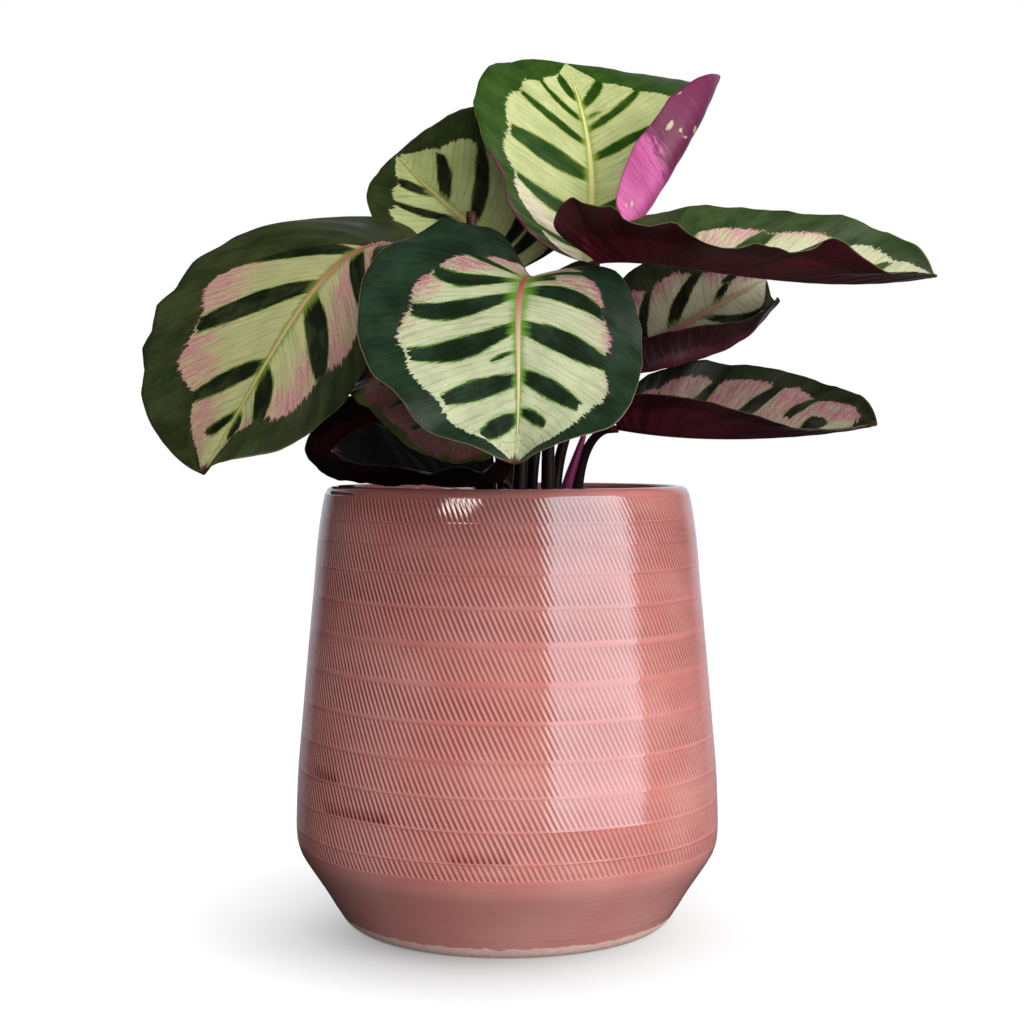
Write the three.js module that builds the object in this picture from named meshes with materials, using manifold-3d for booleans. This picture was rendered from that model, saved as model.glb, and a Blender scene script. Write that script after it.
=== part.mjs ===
import * as THREE from "three";
import { mergeVertices } from "three/addons/utils/BufferGeometryUtils.js";
import Module from "manifold-3d";

// A potted cora calathea in a glazed cover pot, in millimetres with +Z up.
// The origin is the centre of the pot's flat underside.
// The front leaf faces -Y, and +X is to the right of someone who looks at it.

// Pot
const POT_HEIGHT = 202;
const RIM_CREST_RADIUS = 80;
const POT_WALL = 8;
const POT_FLOOR = 9;
const FLOOR_RADIUS = 68;
const POT_SEGMENTS = 36;
const BAND_GROOVE_DEPTH = 0.5;
const BAND_GROOVE_HALF = 1.3;

// The outside of the pot as radius and height, from the flat underside to the rim
const POT_OUTSIDE = [
  [74, 0],
  [75.5, 1],
  [79.4, 6],
  [85.5, 15.9],
  [93.3, 27.6],
  [96.3, 32.4],
  [98, 37.5],
  [98.6, 44],
  [98.5, 52],
  [98, 66],
  [95.6, 96],
  [91.3, 144],
  [89.9, 159],
  [88.9, 172],
  [87.8, 182],
  [85.3, 197],
  [83.6, 200.6],
];
const BAND_HEIGHTS = [59, 73, 88, 104, 120, 136.5, 152, 166, 178, 187.5];

// Soil
const SOIL_TOP = 186;
const SOIL_GAP = 0.4;
const STALK_DEPTH = 14;
const HOLE_GAP = 0.35;

// Blades and stalks
const BLADE_THICKNESS = 0.9;
const KEEL_DEPTH = 1.1;
const BASE_HALF_WIDTH = 1.7;
const TIP_HALF_WIDTH = 0.8;
const VEIN_CURVE = 0.12;
const LOBE_PEAK = 0.376;
const MIDRIB_ROUND = 3.5;
const BEND_STEPS = 24;
const LENGTH_STEPS = 14;
const BASE_CROWDING = 1.35;
const WIDTH_STATIONS = [0, 0.07, 0.28, 0.5, 0.7, 0.86, 1];
const FOLDED_STATIONS = [0, 0.07, 0.2, 0.3, 0.4, 0.48, 0.56, 0.64, 0.72, 0.8, 0.9, 1];
const STALK_SIDES = 8;
const STALK_STEPS = 9;
const STALK_TOP_RADIUS = 1.5;
const STALK_GAP = 1;
const STALK_DROP = 1.6;

// Each leaf grows from its place in the crown on a stalk of the given radius.
// rib is the midrib, as the four points of a Bezier curve from the blade's base to its tip.
// face is the way that the upper side looks, at the base and at the tip.
// slant sets how much the side veins lean towards the tip.
// left and right are the halves, seen from above with the tip away from the viewer. A half has its
// width, the reach of its lobe behind the base, and its fold up from flat and its curl towards the
// edge in degrees, at the base, the middle and the tip. lift is how far the edge waves off the blade
// at even steps along it, and crease is a sharp fold at a share of the half's width.
const LEAVES = {
  // The largest, in front and nearly face on, with a heart-shaped base
  front: {
    crown: [5.5, -3],
    stalk: 3.5,
    rib: [[11, -44, 295], [0, -83, 294], [8, -109, 246], [3, -128, 213]],
    face: [[-0.14, -0.67, 0.09], [-0.05, -0.97, 0.27]],
    slant: 1.8,
    left: {
      half: 52,
      lobe: 0.02,
      fold: [30, -7, 30],
      curl: [-5, -28, -3],
      lift: [4.5, -2.5, -3, 0, 1.5, 1.5, 1, 0, -3, 2, 4.5],
    },
    right: {
      half: 66,
      lobe: 0.13,
      fold: [31, 3, 23],
      curl: [-37, 25, -2],
      lift: [2.5, -2.5, -5, 3, 2, -1, -2, -1, 4, -4, 1.5],
    },
  },
  // Droops to the lower left
  left: {
    crown: [-8, -1],
    stalk: 3.1,
    rib: [[-49, -13, 312], [-83, -9, 322], [-103, -48, 259], [-132, -62, 208]],
    face: [[0.06, -0.29, 0.86], [-0.47, -0.81, 0.3]],
    slant: 2.4,
    left: {
      half: 39,
      lobe: -0.07,
      fold: [15, -6, 22],
      curl: [3, -36, -9],
      lift: [0, 0, 0, 0, 0, 0, -0.5, -0.5, 0.5, -2, 1, 5.5, 5.5],
    },
    right: {
      half: 67,
      lobe: 0.06,
      fold: [4, -1, 6],
      curl: [-15, 14, 3],
      lift: [-2.5, -2.5, 1, 0, 1, 1.5, 0.5, 1, 0, 0, 0.5, -2.5, -3],
    },
  },
  // Stands upright, its right half folded forward over itself
  top: {
    crown: [10.5, 6],
    stalk: 3.3,
    rib: [[36.5, 12, 307.5], [42.5, 13, 334], [42.5, 29, 372.5], [29, 71, 413.5]],
    face: [[-0.24, -0.92, 0.21], [0.34, -0.82, 0.48]],
    slant: 1.9,
    left: {
      half: 59,
      lobe: -0.02,
      fold: [32, 31, 8],
      curl: [17, -17, -12],
      lift: [0, 0.5, 3.5, -2, -1.5, 0, 2.5, -1.5, -1],
      crease: { at: [0.78, 0.99, 1.2], by: [150, 90, 0], soft: 0.25 },
    },
    right: {
      half: 76,
      lobe: -0.01,
      fold: [28, 25, 4],
      curl: [2, -18, -4],
      lift: [0, 0, 3.5, -3, -5.5, -1.5, -0.5, -0.5, 0],
      crease: { at: [0.36, 0.79, 1.1], by: [105, 163, 150], soft: 0.36 },
    },
  },
  // Behind the top leaf, pointing up and left
  back_left: {
    crown: [-0.5, 13],
    stalk: 3,
    rib: [[4, 29, 305], [-12, 40, 326], [-41, 45, 346], [-56, 65, 367]],
    face: [[-0.03, -0.93, 0.27], [-0.21, -1, 0.19]],
    slant: 2.2,
    left: {
      half: 35,
      lobe: 0.06,
      fold: [11, 18, 8],
      curl: [0, 3, 0],
      lift: [0, 0, 0, 0, 0, 0, 0.5, 0, -1],
    },
    right: {
      half: 52,
      lobe: 0.1,
      fold: [11, 20, 8],
      curl: [0, 6, -1],
      lift: [0, 0, 0, 0, 0, 1, 0, -0.5, 0],
    },
  },
  // Reaches far to the right, its near half folded up
  upper_right: {
    crown: [19, -5],
    stalk: 3.3,
    rib: [[40.5, -44, 302], [71.5, -58, 304], [129.5, -24, 286.5], [194, -22, 298]],
    face: [[0.53, -0.25, 0.41], [0.14, -0.59, 0.71]],
    slant: 1.8,
    left: {
      half: 41,
      lobe: 0.05,
      fold: [19, 16, 26],
      curl: [-6, -3, 8],
      lift: [0, 1.5, -3, -0.5, 0, 0, 2, -1.5, 2.5],
    },
    right: {
      half: 44,
      lobe: 0.15,
      fold: [44, 53, 42],
      curl: [-3, -4, 2],
      lift: [0, 0, 0, 0, -1, 1.5, 3, 1, -2.5, 1, -1.5, 8.5, 0, -5, -2.5, -1, 0, 0, 0],
    },
  },
  // Behind the front leaf, its lower half folded up on itself
  middle_right: {
    crown: [22, 4.5],
    stalk: 3,
    rib: [[55, 4, 262], [79, -2, 275], [107, -1, 291], [123, 17, 300]],
    face: [[-0.37, -0.69, 0.53], [0.15, -0.6, 0.05]],
    slant: 1.8,
    left: {
      half: 40,
      lobe: 0.12,
      fold: [14, 2, 5],
      curl: [4, -14, 0],
      lift: [0, 0, 0, 0.5, -0.5, 0, 0, 0, 0],
    },
    right: {
      half: 39,
      lobe: 0.13,
      fold: [12, 3, -9],
      curl: [13, -43, -27],
      lift: [0, 0, -0.5, 0, 1.5, -1.5, -2, 0.5, 0],
      crease: { at: [0.48, 0.53, 0.3], by: [152, 144, 147], soft: 0.3 },
    },
  },
  // Low on the right, its near half folded up
  lower_right: {
    crown: [32, 1.5],
    stalk: 3.2,
    rib: [[52, -9, 229], [85, -14, 222], [136, 0, 223], [171, -10, 231]],
    face: [[0.03, -0.4, 0.98], [0.01, -0.57, 0.81]],
    slant: 1.8,
    left: {
      half: 40,
      lobe: 0.04,
      fold: [43, 34, 15],
      curl: [4, -5, -9],
      lift: [0, 0, -0.5, 3, -1, 0.5, -1.5, -1, 2.5],
    },
    right: {
      half: 32,
      lobe: 0.09,
      fold: [66, 51, 37],
      curl: [8, -7, -9],
      lift: [0, -0.5, 0.5, 1, 0, -2, -1, 0, 0],
    },
  },
  // Hangs behind the front leaf
  small: {
    crown: [-1.5, -9],
    stalk: 2.6,
    rib: [[-13, -23, 263], [-14, -56, 250], [-20, -76, 232], [-25, -62, 213]],
    face: [[0.14, -0.8, 0.57], [0.1, -0.99, 0.2]],
    slant: 1.8,
    left: {
      half: 29,
      lobe: 0.1,
      fold: [11, 2, -9],
      curl: [0, -2, -5],
      lift: [0, 0, 0, 0, 0, 0, 0, -1, -1],
    },
    right: {
      half: 54,
      lobe: 0.22,
      fold: [-2, -11, -10],
      curl: [-27, -27, -7],
      lift: [0, 0, 0, 0, 1, 0, -1, -1, 1],
    },
  },
  // Low behind the left leaf, its underside to the front
  low_left: {
    crown: [-9, 14],
    stalk: 2.5,
    rib: [[-26, 16, 211], [-48, 20, 218], [-77, 21, 219.5], [-96, 14, 221.5]],
    face: [[0, 0.7, 0.7], [0.01, 0.78, 0.52]],
    slant: 1.8,
    left: {
      half: 38,
      lobe: 0.02,
      fold: [6, -3, -3],
      curl: [1, -9, -5],
      lift: [0, 0, 0, 0, 0, -0.5, -0.5, 0, -1.5],
    },
    right: {
      half: 19,
      lobe: 0,
      fold: [6, -2, 1],
      curl: [1, -5, -3],
      lift: [0, 0, 0, 0, 0, 0, -3, -0.5, 1],
    },
  },
  // A crumpled trough that lies over the rim
  rim_left: {
    crown: [3, -18],
    stalk: 2.4,
    rib: [[-3, -17, 205], [-27, -39, 199], [-51, -57, 205], [-76, -53, 219]],
    face: [[-0.05, -0.12, 1.01], [-0.19, -0.42, 1.03]],
    slant: 1.8,
    left: {
      half: 20,
      lobe: 0.06,
      fold: [54, 39, 32],
      curl: [-3, -19, -18],
      lift: [0, 0, 0, -2, 0.5, -0.5, 0.5, 0, 0],
    },
    right: {
      half: 30,
      lobe: 0.08,
      fold: [41, 36, 39],
      curl: [1, -6, -2],
      lift: [0, 0, 0, 0, 0, 0, -1, 1.5, -1],
    },
  },
};

// A magenta sheath stands beside the stalks, and one old stalk has lost its leaf
const SHEATH = { crown: [25.5, -8.5], top: [36.5, -10, 229], radius: 2.8, tip: 0.9 };
const CUT_STALK = { crown: [-13, 6], top: [-17, 4, 330], radius: 2.4, tip: 2.2 };

const wasm = await Module();
wasm.setup();

const LOOKS = {
  pot: new THREE.MeshStandardMaterial({ color: 0xb0736b, roughness: 0.16, metalness: 0 }),
  soil: new THREE.MeshStandardMaterial({ color: 0x2b1c14, roughness: 0.95, metalness: 0 }),
  blade: new THREE.MeshStandardMaterial({ color: 0x2f4a30, roughness: 0.38, metalness: 0 }),
  stalk: new THREE.MeshStandardMaterial({ color: 0x2c0f18, roughness: 0.45, metalness: 0 }),
  sheath: new THREE.MeshStandardMaterial({ color: 0x7d1a4e, roughness: 0.45, metalness: 0 }),
};

const radians = THREE.MathUtils.degToRad;
const clamp = THREE.MathUtils.clamp;
const vector = (p) => new THREE.Vector3(...p);

// The parabola through three values, read at s from 0 to 1
function along([first, middle, last], s) {
  return first * (1 - s) * (1 - 2 * s) + 4 * middle * s * (1 - s) + last * s * (2 * s - 1);
}

// The edge's wave: a smooth curve through the lift values, level at both ends
function liftAt(lift, u) {
  const values = [0, 0, ...lift, 0, 0];
  const x = clamp(u, 0, 1) * (lift.length + 1);
  const i = Math.min(Math.floor(x), lift.length);
  const f = x - i;
  const [p0, p1, p2, p3] = values.slice(i, i + 4);
  const square = 2 * p0 - 5 * p1 + 4 * p2 - p3;
  const cube = -p0 + 3 * p1 - 3 * p2 + p3;
  return 0.5 * (2 * p1 + (p2 - p0) * f + square * f * f + cube * f * f * f);
}

// A function from u (0 at the base, 1 at the tip) and t (-1 left edge, 0 midrib, 1 right edge) to
// a point of the blade and the way that its upper side looks there. A line of constant u is a side
// vein. The fold starts softly, so that the blade is rounded over its midrib.
function bladeSurface(leaf) {
  const curve = new THREE.CubicBezierCurve3(...leaf.rib.map(vector));
  curve.arcLengthDivisions = 100;
  const length = curve.getLength();
  const faces = leaf.face.map((f) => vector(f).normalize());
  return (u, t) => {
    const half = t < 0 ? leaf.left : leaf.right;
    const across = Math.abs(t);
    const turn = Math.PI * u;
    const swell = Math.max(Math.sin(turn), 0);
    const edgeOut = half.half * swell ** (0.72 + 0.26 * u)
      + BASE_HALF_WIDTH * (1 - u) + TIP_HALF_WIDTH * u;
    const edgeBack = (half.lobe * swell * (1 - u) ** 2) / LOBE_PEAK;
    const baseBack = 6 * Math.max(half.lobe, 0) * BASE_HALF_WIDTH * (1 - u) ** 8;
    const edgeAlong = length * ((1 - Math.cos(turn)) / 2 - edgeBack) - baseBack;
    const root = length * u ** leaf.slant;
    const dx = edgeAlong - root;
    const bend = VEIN_CURVE * THREE.MathUtils.smoothstep(u, 0, 0.35);
    const bendAlong = root + dx / 2 - bend * edgeOut;
    const bendOut = edgeOut / 2 + bend * dx;
    const inner = 2 * across * (1 - across);
    const a = (1 - across) ** 2 * root + inner * bendAlong + across ** 2 * edgeAlong;
    const b = inner * bendOut + across ** 2 * edgeOut;

    const s = clamp(a / length, 0, 1);
    const forward = curve.getTangentAt(s);
    const point = curve.getPointAt(s).addScaledVector(forward, Math.min(a, 0));
    const up = faces[0].clone().lerp(faces[1], s);
    up.addScaledVector(forward, -up.dot(forward)).normalize();
    const side = forward.clone().cross(up).multiplyScalar(t < 0 ? -1 : 1);

    let x = 0;
    let z = 0;
    let angle = 0;
    for (let k = 0; k < BEND_STEPS; k += 1) {
      const out = (b * (k + 0.5)) / BEND_STEPS;
      const q = out / half.half;
      const start = Math.min(out / MIDRIB_ROUND, 1);
      angle = radians(along(half.fold, s) * start + along(half.curl, s) * q);
      if (half.crease) {
        const { at, by, soft } = half.crease;
        const into = clamp((q - along(at, s)) / soft + 0.5, 0, 1);
        angle += radians(along(by, s)) * THREE.MathUtils.smoothstep(into, 0, 1);
      }
      x += (Math.cos(angle) * b) / BEND_STEPS;
      z += (Math.sin(angle) * b) / BEND_STEPS;
    }
    const wave = across ** 2.2 * liftAt(half.lift, u);
    x -= wave * Math.sin(angle);
    z += wave * Math.cos(angle);
    point.addScaledVector(side, x).addScaledVector(up, z);
    const normal = side.multiplyScalar(-Math.sin(angle)).addScaledVector(up, Math.cos(angle));
    return { point, normal };
  };
}

// A mesh from its points and the numbers of each triangle's three points
function meshFromTriangles(points, triangles) {
  const geometry = new THREE.BufferGeometry();
  geometry.setAttribute(
    "position",
    new THREE.Float32BufferAttribute(points.flatMap((p) => p.toArray()), 3),
  );
  geometry.setIndex(triangles);
  geometry.computeVertexNormals();
  return geometry;
}

// A blade: two faces with the same triangles, a keel under the midrib and a thin edge all round
function bladeGeometry(leaf) {
  const surface = bladeSurface(leaf);
  const left = leaf.left.crease ? FOLDED_STATIONS : WIDTH_STATIONS;
  const right = leaf.right.crease ? FOLDED_STATIONS : WIDTH_STATIONS;
  const stations = [...left.slice(1).reverse().map((t) => -t), ...right];
  const columns = stations.length;
  const upper = [];
  const lower = [];
  for (let i = 0; i <= LENGTH_STEPS; i += 1) {
    const u = (i / LENGTH_STEPS) ** BASE_CROWDING;
    for (const t of stations) {
      const { point, normal } = surface(u, t);
      const keel = Math.abs(t) < 0.01 ? KEEL_DEPTH * (1 - 0.8 * u) : 0;
      upper.push(point.clone().addScaledVector(normal, BLADE_THICKNESS / 2));
      lower.push(point.clone().addScaledVector(normal, -BLADE_THICKNESS / 2 - keel));
    }
  }
  const count = upper.length;
  const triangles = [];
  for (let i = 0; i < LENGTH_STEPS; i += 1) {
    for (let j = 0; j < columns - 1; j += 1) {
      const a = i * columns + j;
      const b = a + 1;
      const c = a + columns;
      const d = c + 1;
      triangles.push(a, b, d, a, d, c);
      triangles.push(count + a, count + d, count + b, count + a, count + c, count + d);
    }
  }
  const border = [];
  for (let j = 0; j < columns - 1; j += 1) border.push(j);
  for (let i = 0; i < LENGTH_STEPS; i += 1) border.push((i + 1) * columns - 1);
  for (let j = columns - 1; j > 0; j -= 1) border.push(LENGTH_STEPS * columns + j);
  for (let i = LENGTH_STEPS; i > 0; i -= 1) border.push(i * columns);
  border.forEach((a, k) => {
    const b = border[(k + 1) % border.length];
    triangles.push(a, count + b, b, a, count + a, count + b);
  });
  return meshFromTriangles([...upper, ...lower], triangles);
}

// A round stalk: straight down into the soil, then along a curve, thinner towards its top
function stalkGeometry([x, y], curve, radius, topRadius) {
  const rings = [[new THREE.Vector3(x, y, SOIL_TOP - STALK_DEPTH), radius]];
  for (let k = 0; k <= STALK_STEPS; k += 1) {
    const share = k / STALK_STEPS;
    rings.push([curve.getPointAt(share), THREE.MathUtils.lerp(radius, topRadius, share)]);
  }
  const points = [];
  rings.forEach(([centre, r], k) => {
    const next = rings[Math.min(k + 1, rings.length - 1)][0];
    const last = rings[Math.max(k - 1, 0)][0];
    const direction = k < 2 ? new THREE.Vector3(0, 0, 1) : next.clone().sub(last).normalize();
    const turn = new THREE.Quaternion().setFromUnitVectors(new THREE.Vector3(0, 0, 1), direction);
    for (let i = 0; i < STALK_SIDES; i += 1) {
      const angle = (2 * Math.PI * i) / STALK_SIDES;
      const spoke = new THREE.Vector3(r * Math.cos(angle), r * Math.sin(angle), 0);
      points.push(spoke.applyQuaternion(turn).add(centre));
    }
  });
  const triangles = [];
  for (let k = 0; k < rings.length - 1; k += 1) {
    for (let i = 0; i < STALK_SIDES; i += 1) {
      const a = k * STALK_SIDES + i;
      const b = k * STALK_SIDES + ((i + 1) % STALK_SIDES);
      triangles.push(a, b, b + STALK_SIDES, a, b + STALK_SIDES, a + STALK_SIDES);
    }
  }
  const top = (rings.length - 1) * STALK_SIDES;
  for (let i = 1; i < STALK_SIDES - 1; i += 1) {
    triangles.push(0, i + 1, i, top, top + i, top + i + 1);
  }
  return meshFromTriangles(points, triangles);
}

// The stalk of a leaf bends to meet the blade's base along the midrib, just under the blade
function leafStalkCurve(leaf) {
  const [base, next] = leaf.rib.map(vector);
  const forward = next.clone().sub(base).normalize();
  const up = vector(leaf.face[0]);
  up.addScaledVector(forward, -up.dot(forward)).normalize();
  const end = base.clone().addScaledVector(forward, -STALK_GAP).addScaledVector(up, -STALK_DROP);
  const start = new THREE.Vector3(...leaf.crown, SOIL_TOP + 2);
  const reach = start.distanceTo(end);
  const first = start.clone().add(new THREE.Vector3(0, 0, reach * 0.4));
  const second = end.clone().addScaledVector(forward, -Math.min(reach * 0.35, 26));
  return new THREE.CubicBezierCurve3(start, first, second, end);
}

function plainStalkCurve({ crown, top }) {
  const start = new THREE.Vector3(...crown, SOIL_TOP + 2);
  const end = vector(top);
  const first = start.clone().add(new THREE.Vector3(0, 0, start.distanceTo(end) * 0.3));
  const second = start.clone().lerp(end, 0.7);
  return new THREE.CubicBezierCurve3(start, first, second, end);
}

// A solid for joining and cutting, and back again
function solidFrom(geometry) {
  const bare = geometry.clone();
  bare.deleteAttribute("normal");
  bare.deleteAttribute("uv");
  const merged = mergeVertices(bare, 1e-4);
  return new wasm.Manifold(
    new wasm.Mesh({
      numProp: 3,
      vertProperties: new Float32Array(merged.attributes.position.array),
      triVerts: new Uint32Array(merged.index.array),
    }),
  );
}

function geometryFrom(solid) {
  const mesh = solid.getMesh();
  const geometry = new THREE.BufferGeometry();
  geometry.setAttribute("position", new THREE.BufferAttribute(mesh.vertProperties, 3));
  geometry.setIndex(new THREE.BufferAttribute(mesh.triVerts, 1));
  geometry.computeVertexNormals();
  return geometry;
}

// A body turned about the pot's axis from its profile of radius and height
function turned(profile, segments) {
  const geometry = new THREE.LatheGeometry(
    profile.map(([radius, height]) => new THREE.Vector2(radius, height)),
    segments,
  );
  return geometry.rotateX(Math.PI / 2);
}

function radiusAt(height) {
  const k = POT_OUTSIDE.findIndex(([, z]) => z >= height);
  const [r0, z0] = POT_OUTSIDE[k - 1];
  const [r1, z1] = POT_OUTSIDE[k];
  return THREE.MathUtils.mapLinear(height, z0, z1, r0, r1);
}

// Pot: the outside with a shallow groove between the bands, the rim, and the inside
const grooves = BAND_HEIGHTS.flatMap((height) => [
  [radiusAt(height - BAND_GROOVE_HALF), height - BAND_GROOVE_HALF],
  [radiusAt(height) - BAND_GROOVE_DEPTH, height],
  [radiusAt(height + BAND_GROOVE_HALF), height + BAND_GROOVE_HALF],
]);
const outside = [...POT_OUTSIDE, ...grooves].sort((a, b) => a[1] - b[1]);
const inside = [20, 34, 52, 98, 163, SOIL_TOP]
  .map((height) => [radiusAt(height) - POT_WALL, height]);
const potProfile = [
  [0, 0],
  ...outside,
  [82, 201.7],
  [RIM_CREST_RADIUS, POT_HEIGHT],
  [78.2, 201.2],
  [77.3, 199],
  ...inside.toReversed(),
  [FLOOR_RADIUS, POT_FLOOR],
  [0, POT_FLOOR],
];

// Soil: a low mound that fills the pot, with a plain hole for each stalk
const soilProfile = [
  [0, POT_FLOOR + SOIL_GAP],
  [FLOOR_RADIUS - SOIL_GAP, POT_FLOOR + SOIL_GAP],
  ...inside.map(([r, z]) => [r - SOIL_GAP, Math.min(z, SOIL_TOP - 2)]),
  [50, SOIL_TOP],
  [0, SOIL_TOP],
];
const stalks = Object.fromEntries(
  Object.entries(LEAVES).map(([name, leaf]) => [
    "stalk_" + name,
    { crown: leaf.crown, curve: leafStalkCurve(leaf), radius: leaf.stalk, tip: STALK_TOP_RADIUS },
  ]),
);
stalks.stalk_cut = { ...CUT_STALK, curve: plainStalkCurve(CUT_STALK) };
stalks.sheath = { ...SHEATH, curve: plainStalkCurve(SHEATH) };

let soil = solidFrom(turned(soilProfile, POT_SEGMENTS));
for (const { crown, radius } of Object.values(stalks)) {
  const hole = new THREE.CylinderGeometry(radius + HOLE_GAP, radius + HOLE_GAP, 40, STALK_SIDES);
  hole.rotateX(Math.PI / 2);
  hole.translate(crown[0], crown[1], SOIL_TOP - STALK_DEPTH - HOLE_GAP + 20);
  soil = soil.subtract(solidFrom(hole));
}

// The whole plant
const group = new THREE.Group();
group.name = "potted_cora_calathea";

function place(name, geometry, look) {
  const mesh = new THREE.Mesh(geometry, look);
  mesh.name = name;
  group.add(mesh);
}

place("pot", turned(potProfile, POT_SEGMENTS), LOOKS.pot);
place("soil", geometryFrom(soil), LOOKS.soil);
for (const [name, leaf] of Object.entries(LEAVES)) {
  place("leaf_" + name, bladeGeometry(leaf), LOOKS.blade);
}
for (const [name, { crown, curve, radius, tip }] of Object.entries(stalks)) {
  const look = name === "sheath" ? LOOKS.sheath : LOOKS.stalk;
  place(name, stalkGeometry(crown, curve, radius, tip), look);
}

export default group;
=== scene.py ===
"""The looks of a potted cora calathea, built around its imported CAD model.

Blender works in metres with +Z up. The plant's own sizes are written in millimetres, as in the
model's source, and MM turns them into metres. The front leaf faces -Y.
"""
import math

import bmesh
import bpy
import numpy as np
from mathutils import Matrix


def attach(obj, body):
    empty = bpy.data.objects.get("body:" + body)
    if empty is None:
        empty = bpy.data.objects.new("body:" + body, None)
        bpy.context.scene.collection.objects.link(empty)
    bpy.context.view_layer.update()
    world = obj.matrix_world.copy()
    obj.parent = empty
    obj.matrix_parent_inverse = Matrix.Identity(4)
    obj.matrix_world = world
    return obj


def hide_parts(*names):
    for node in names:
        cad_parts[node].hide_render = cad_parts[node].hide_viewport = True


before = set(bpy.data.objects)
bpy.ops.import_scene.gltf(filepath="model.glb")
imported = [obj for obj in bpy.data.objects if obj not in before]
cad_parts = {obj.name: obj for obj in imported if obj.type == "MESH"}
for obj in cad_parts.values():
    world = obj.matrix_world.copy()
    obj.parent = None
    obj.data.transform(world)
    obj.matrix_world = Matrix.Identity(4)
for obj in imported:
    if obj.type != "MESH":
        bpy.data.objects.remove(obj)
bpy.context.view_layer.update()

MM = 0.001
SEED = 7

# Soil
SOIL_TOP = 186
SOIL_RADIUS = 78.5
SOIL_RINGS = 56
SOIL_SPOKES = 220
SOIL_GAP = 2.2
SOIL_DEPTH = 14
CRUMBS = 260
CRUMB_SIZES = (0.7, 2.1)

# Pot: each point of an outline is a radius and a height
POT_FLOOR = 9
POT_BASE = [(0.2, 0), (72.5, 0), (74.2, 0.1)]
POT_OUTSIDE = [
    (74, 0), (75.5, 1), (79.4, 6), (85.5, 15.9), (93.3, 27.6), (96.3, 32.4), (98, 37.5), (98.6, 44),
    (98.5, 52), (98, 66), (95.6, 96), (91.3, 144), (89.9, 159), (88.9, 172), (87.8, 182), (85.3, 197),
    (84.9, 198.6),
]
POT_INSIDE = [
    (83.8, 200.5), (82.2, 201.7), (80, 202), (78.6, 201.6), (77.6, 200.2), (77.3, 198), (77.4, 190),
    (79.6, SOIL_TOP - 3), (87, 96), (89.5, 50), (84, 24), (68, POT_FLOOR), (0.2, POT_FLOOR),
]
CONE_ROWS = [0.6, 1.2, 2.0, 3.2, 4.4, 6, 9, 13, 18, 22, 26, 29.5, 33, 36]
BAND_LINES = [38, 45.5, 59, 73, 88, 104, 120, 136.5, 152, 166, 178, 187.5, 198.4]
BAND_GAPS = [0.6, 0.4, 0.5, 0.6, 0.8, 1.3, 2.0, 2.2, 1.1, 0.3, 0.2, 0.3, 0.2]
BAND_WAVE = 0.45
NICKS_ROUND = 236
NICK_ACROSS = [0.0, 0.5, 1.0, 0.5]
NICK_PROFILE = [(0, 0.25), (0.06, 0.95), (0.5, 0.9), (0.95, 0.78), (1, 0.25)]
NICK_DEPTH = 0.08
NICK_LEAN = 25
MEAN_RADIUS = 92
MAP_RADIUS = 90
GLAZE_LINE = 5
GLAZE_RAGGED = 3.4
# Glaze that has pooled in a few nicks: height, and from and to as degrees round from the front
POOLS = [(60.1, -56, -29), (46.5, -16, 3), (74.2, -62, -47)]

# Blades and stalks
ROWS = 148
COLUMNS_PER_HALF = 52
BEND_STEPS = 32
BLADE_THICKNESS = 0.55
KEEL_DEPTH = 1.2
GROOVE_DEPTH = 0.25
RIB_HALF_WIDTH = 1.5
MIDRIB_ROUND = 3.5
BASE_HALF_WIDTH = 1.7
TIP_HALF_WIDTH = 0.8
LOBE_PEAK = 0.376
VEIN_CURVE = 0.12
VEIN_RATE = 2.7
SWELLING_SPACING = 7.5
SWELLING_HEIGHT = 0.16
RUFFLE_HEIGHT = 0.55
PLAIN_SCALLOPS = (0.5, 9)
FREE_BAR = 0.15
BAR_INLET = 3.0
STALK_SIDES = 20
STALK_STEPS = 44
STALK_ABOVE = 2.0
STALK_BELOW = 9.0
STALK_TOP_RADIUS = 1.5
STALK_GAP = 0.2
STALK_DROP = 1.2
STALK_MAP = 18
JOINT_SWELLING = 0.3
# Where a stalk without a blade leaves the soil, and its top
CUT_STALK = ((-13, 6), (-17, 4, 330))
CUT_RADIUS = 2.4
DRY_RING = 0.35
SHEATH = ((25.5, -8.5), (36.5, -10, 229))
SHEATH_RADIUS = 2.8

# Each leaf has the model's own form: see blade_points for what the values mean. To that come the
# marks of each half. zone is how far the pale zone reaches from the midrib to the margin, in
# percent, at every tenth of the blade's length. pink is how much of that reach is pink, from 0 to
# 1, and its last value holds to the tip. A bar is a dark brush stroke in the zone, in percent:
# where it starts and ends from the midrib out, its place along the blade at its start, middle and
# end, and half its width. bulges and ruffles say how many millimetres the edge moves out or up at
# some percentages of the length. scars are pale spots of the underside: where they are across and
# along the blade, and their size.
FRONT_LEFT = dict(
    half=52, lobe=0.02, fold=(30, -7, 30), curl=(-5, -28, -3),
    lift=[4.5, -2.5, -3, 0, 1.5, 1.5, 1, 0, -3, 2, 4.5],
    bulges=[
        (5, 0), (13.1, -0.2), (21.7, -0.4), (29.2, -0.8), (35.9, -0.8), (42.4, -0.6), (47.8, 0.2),
        (56.1, -0.4), (65, -0.9), (72, 0.3), (77.4, 0.3), (82.4, 0.1), (87.9, -0.3), (95, 0),
    ],
    zone=[10, 20, 36, 54, 65, 71, 74, 79, 80, 78, 60], pink=[1, 1, 1, 1, 0.85, 0.3, 0.12, 0.06, 0],
    bars=[
        (3, 70, 33, 33, 34, 1.4), (3, 30, 36, 36, 37, 2.8), (5, 64, 45.5, 46, 48, 3.9),
        (5, 72, 64, 63.5, 62, 4.2), (5, 66, 79, 79, 78.5, 3), (8, 50, 88.2, 88, 88, 1.7),
    ],
)
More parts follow.
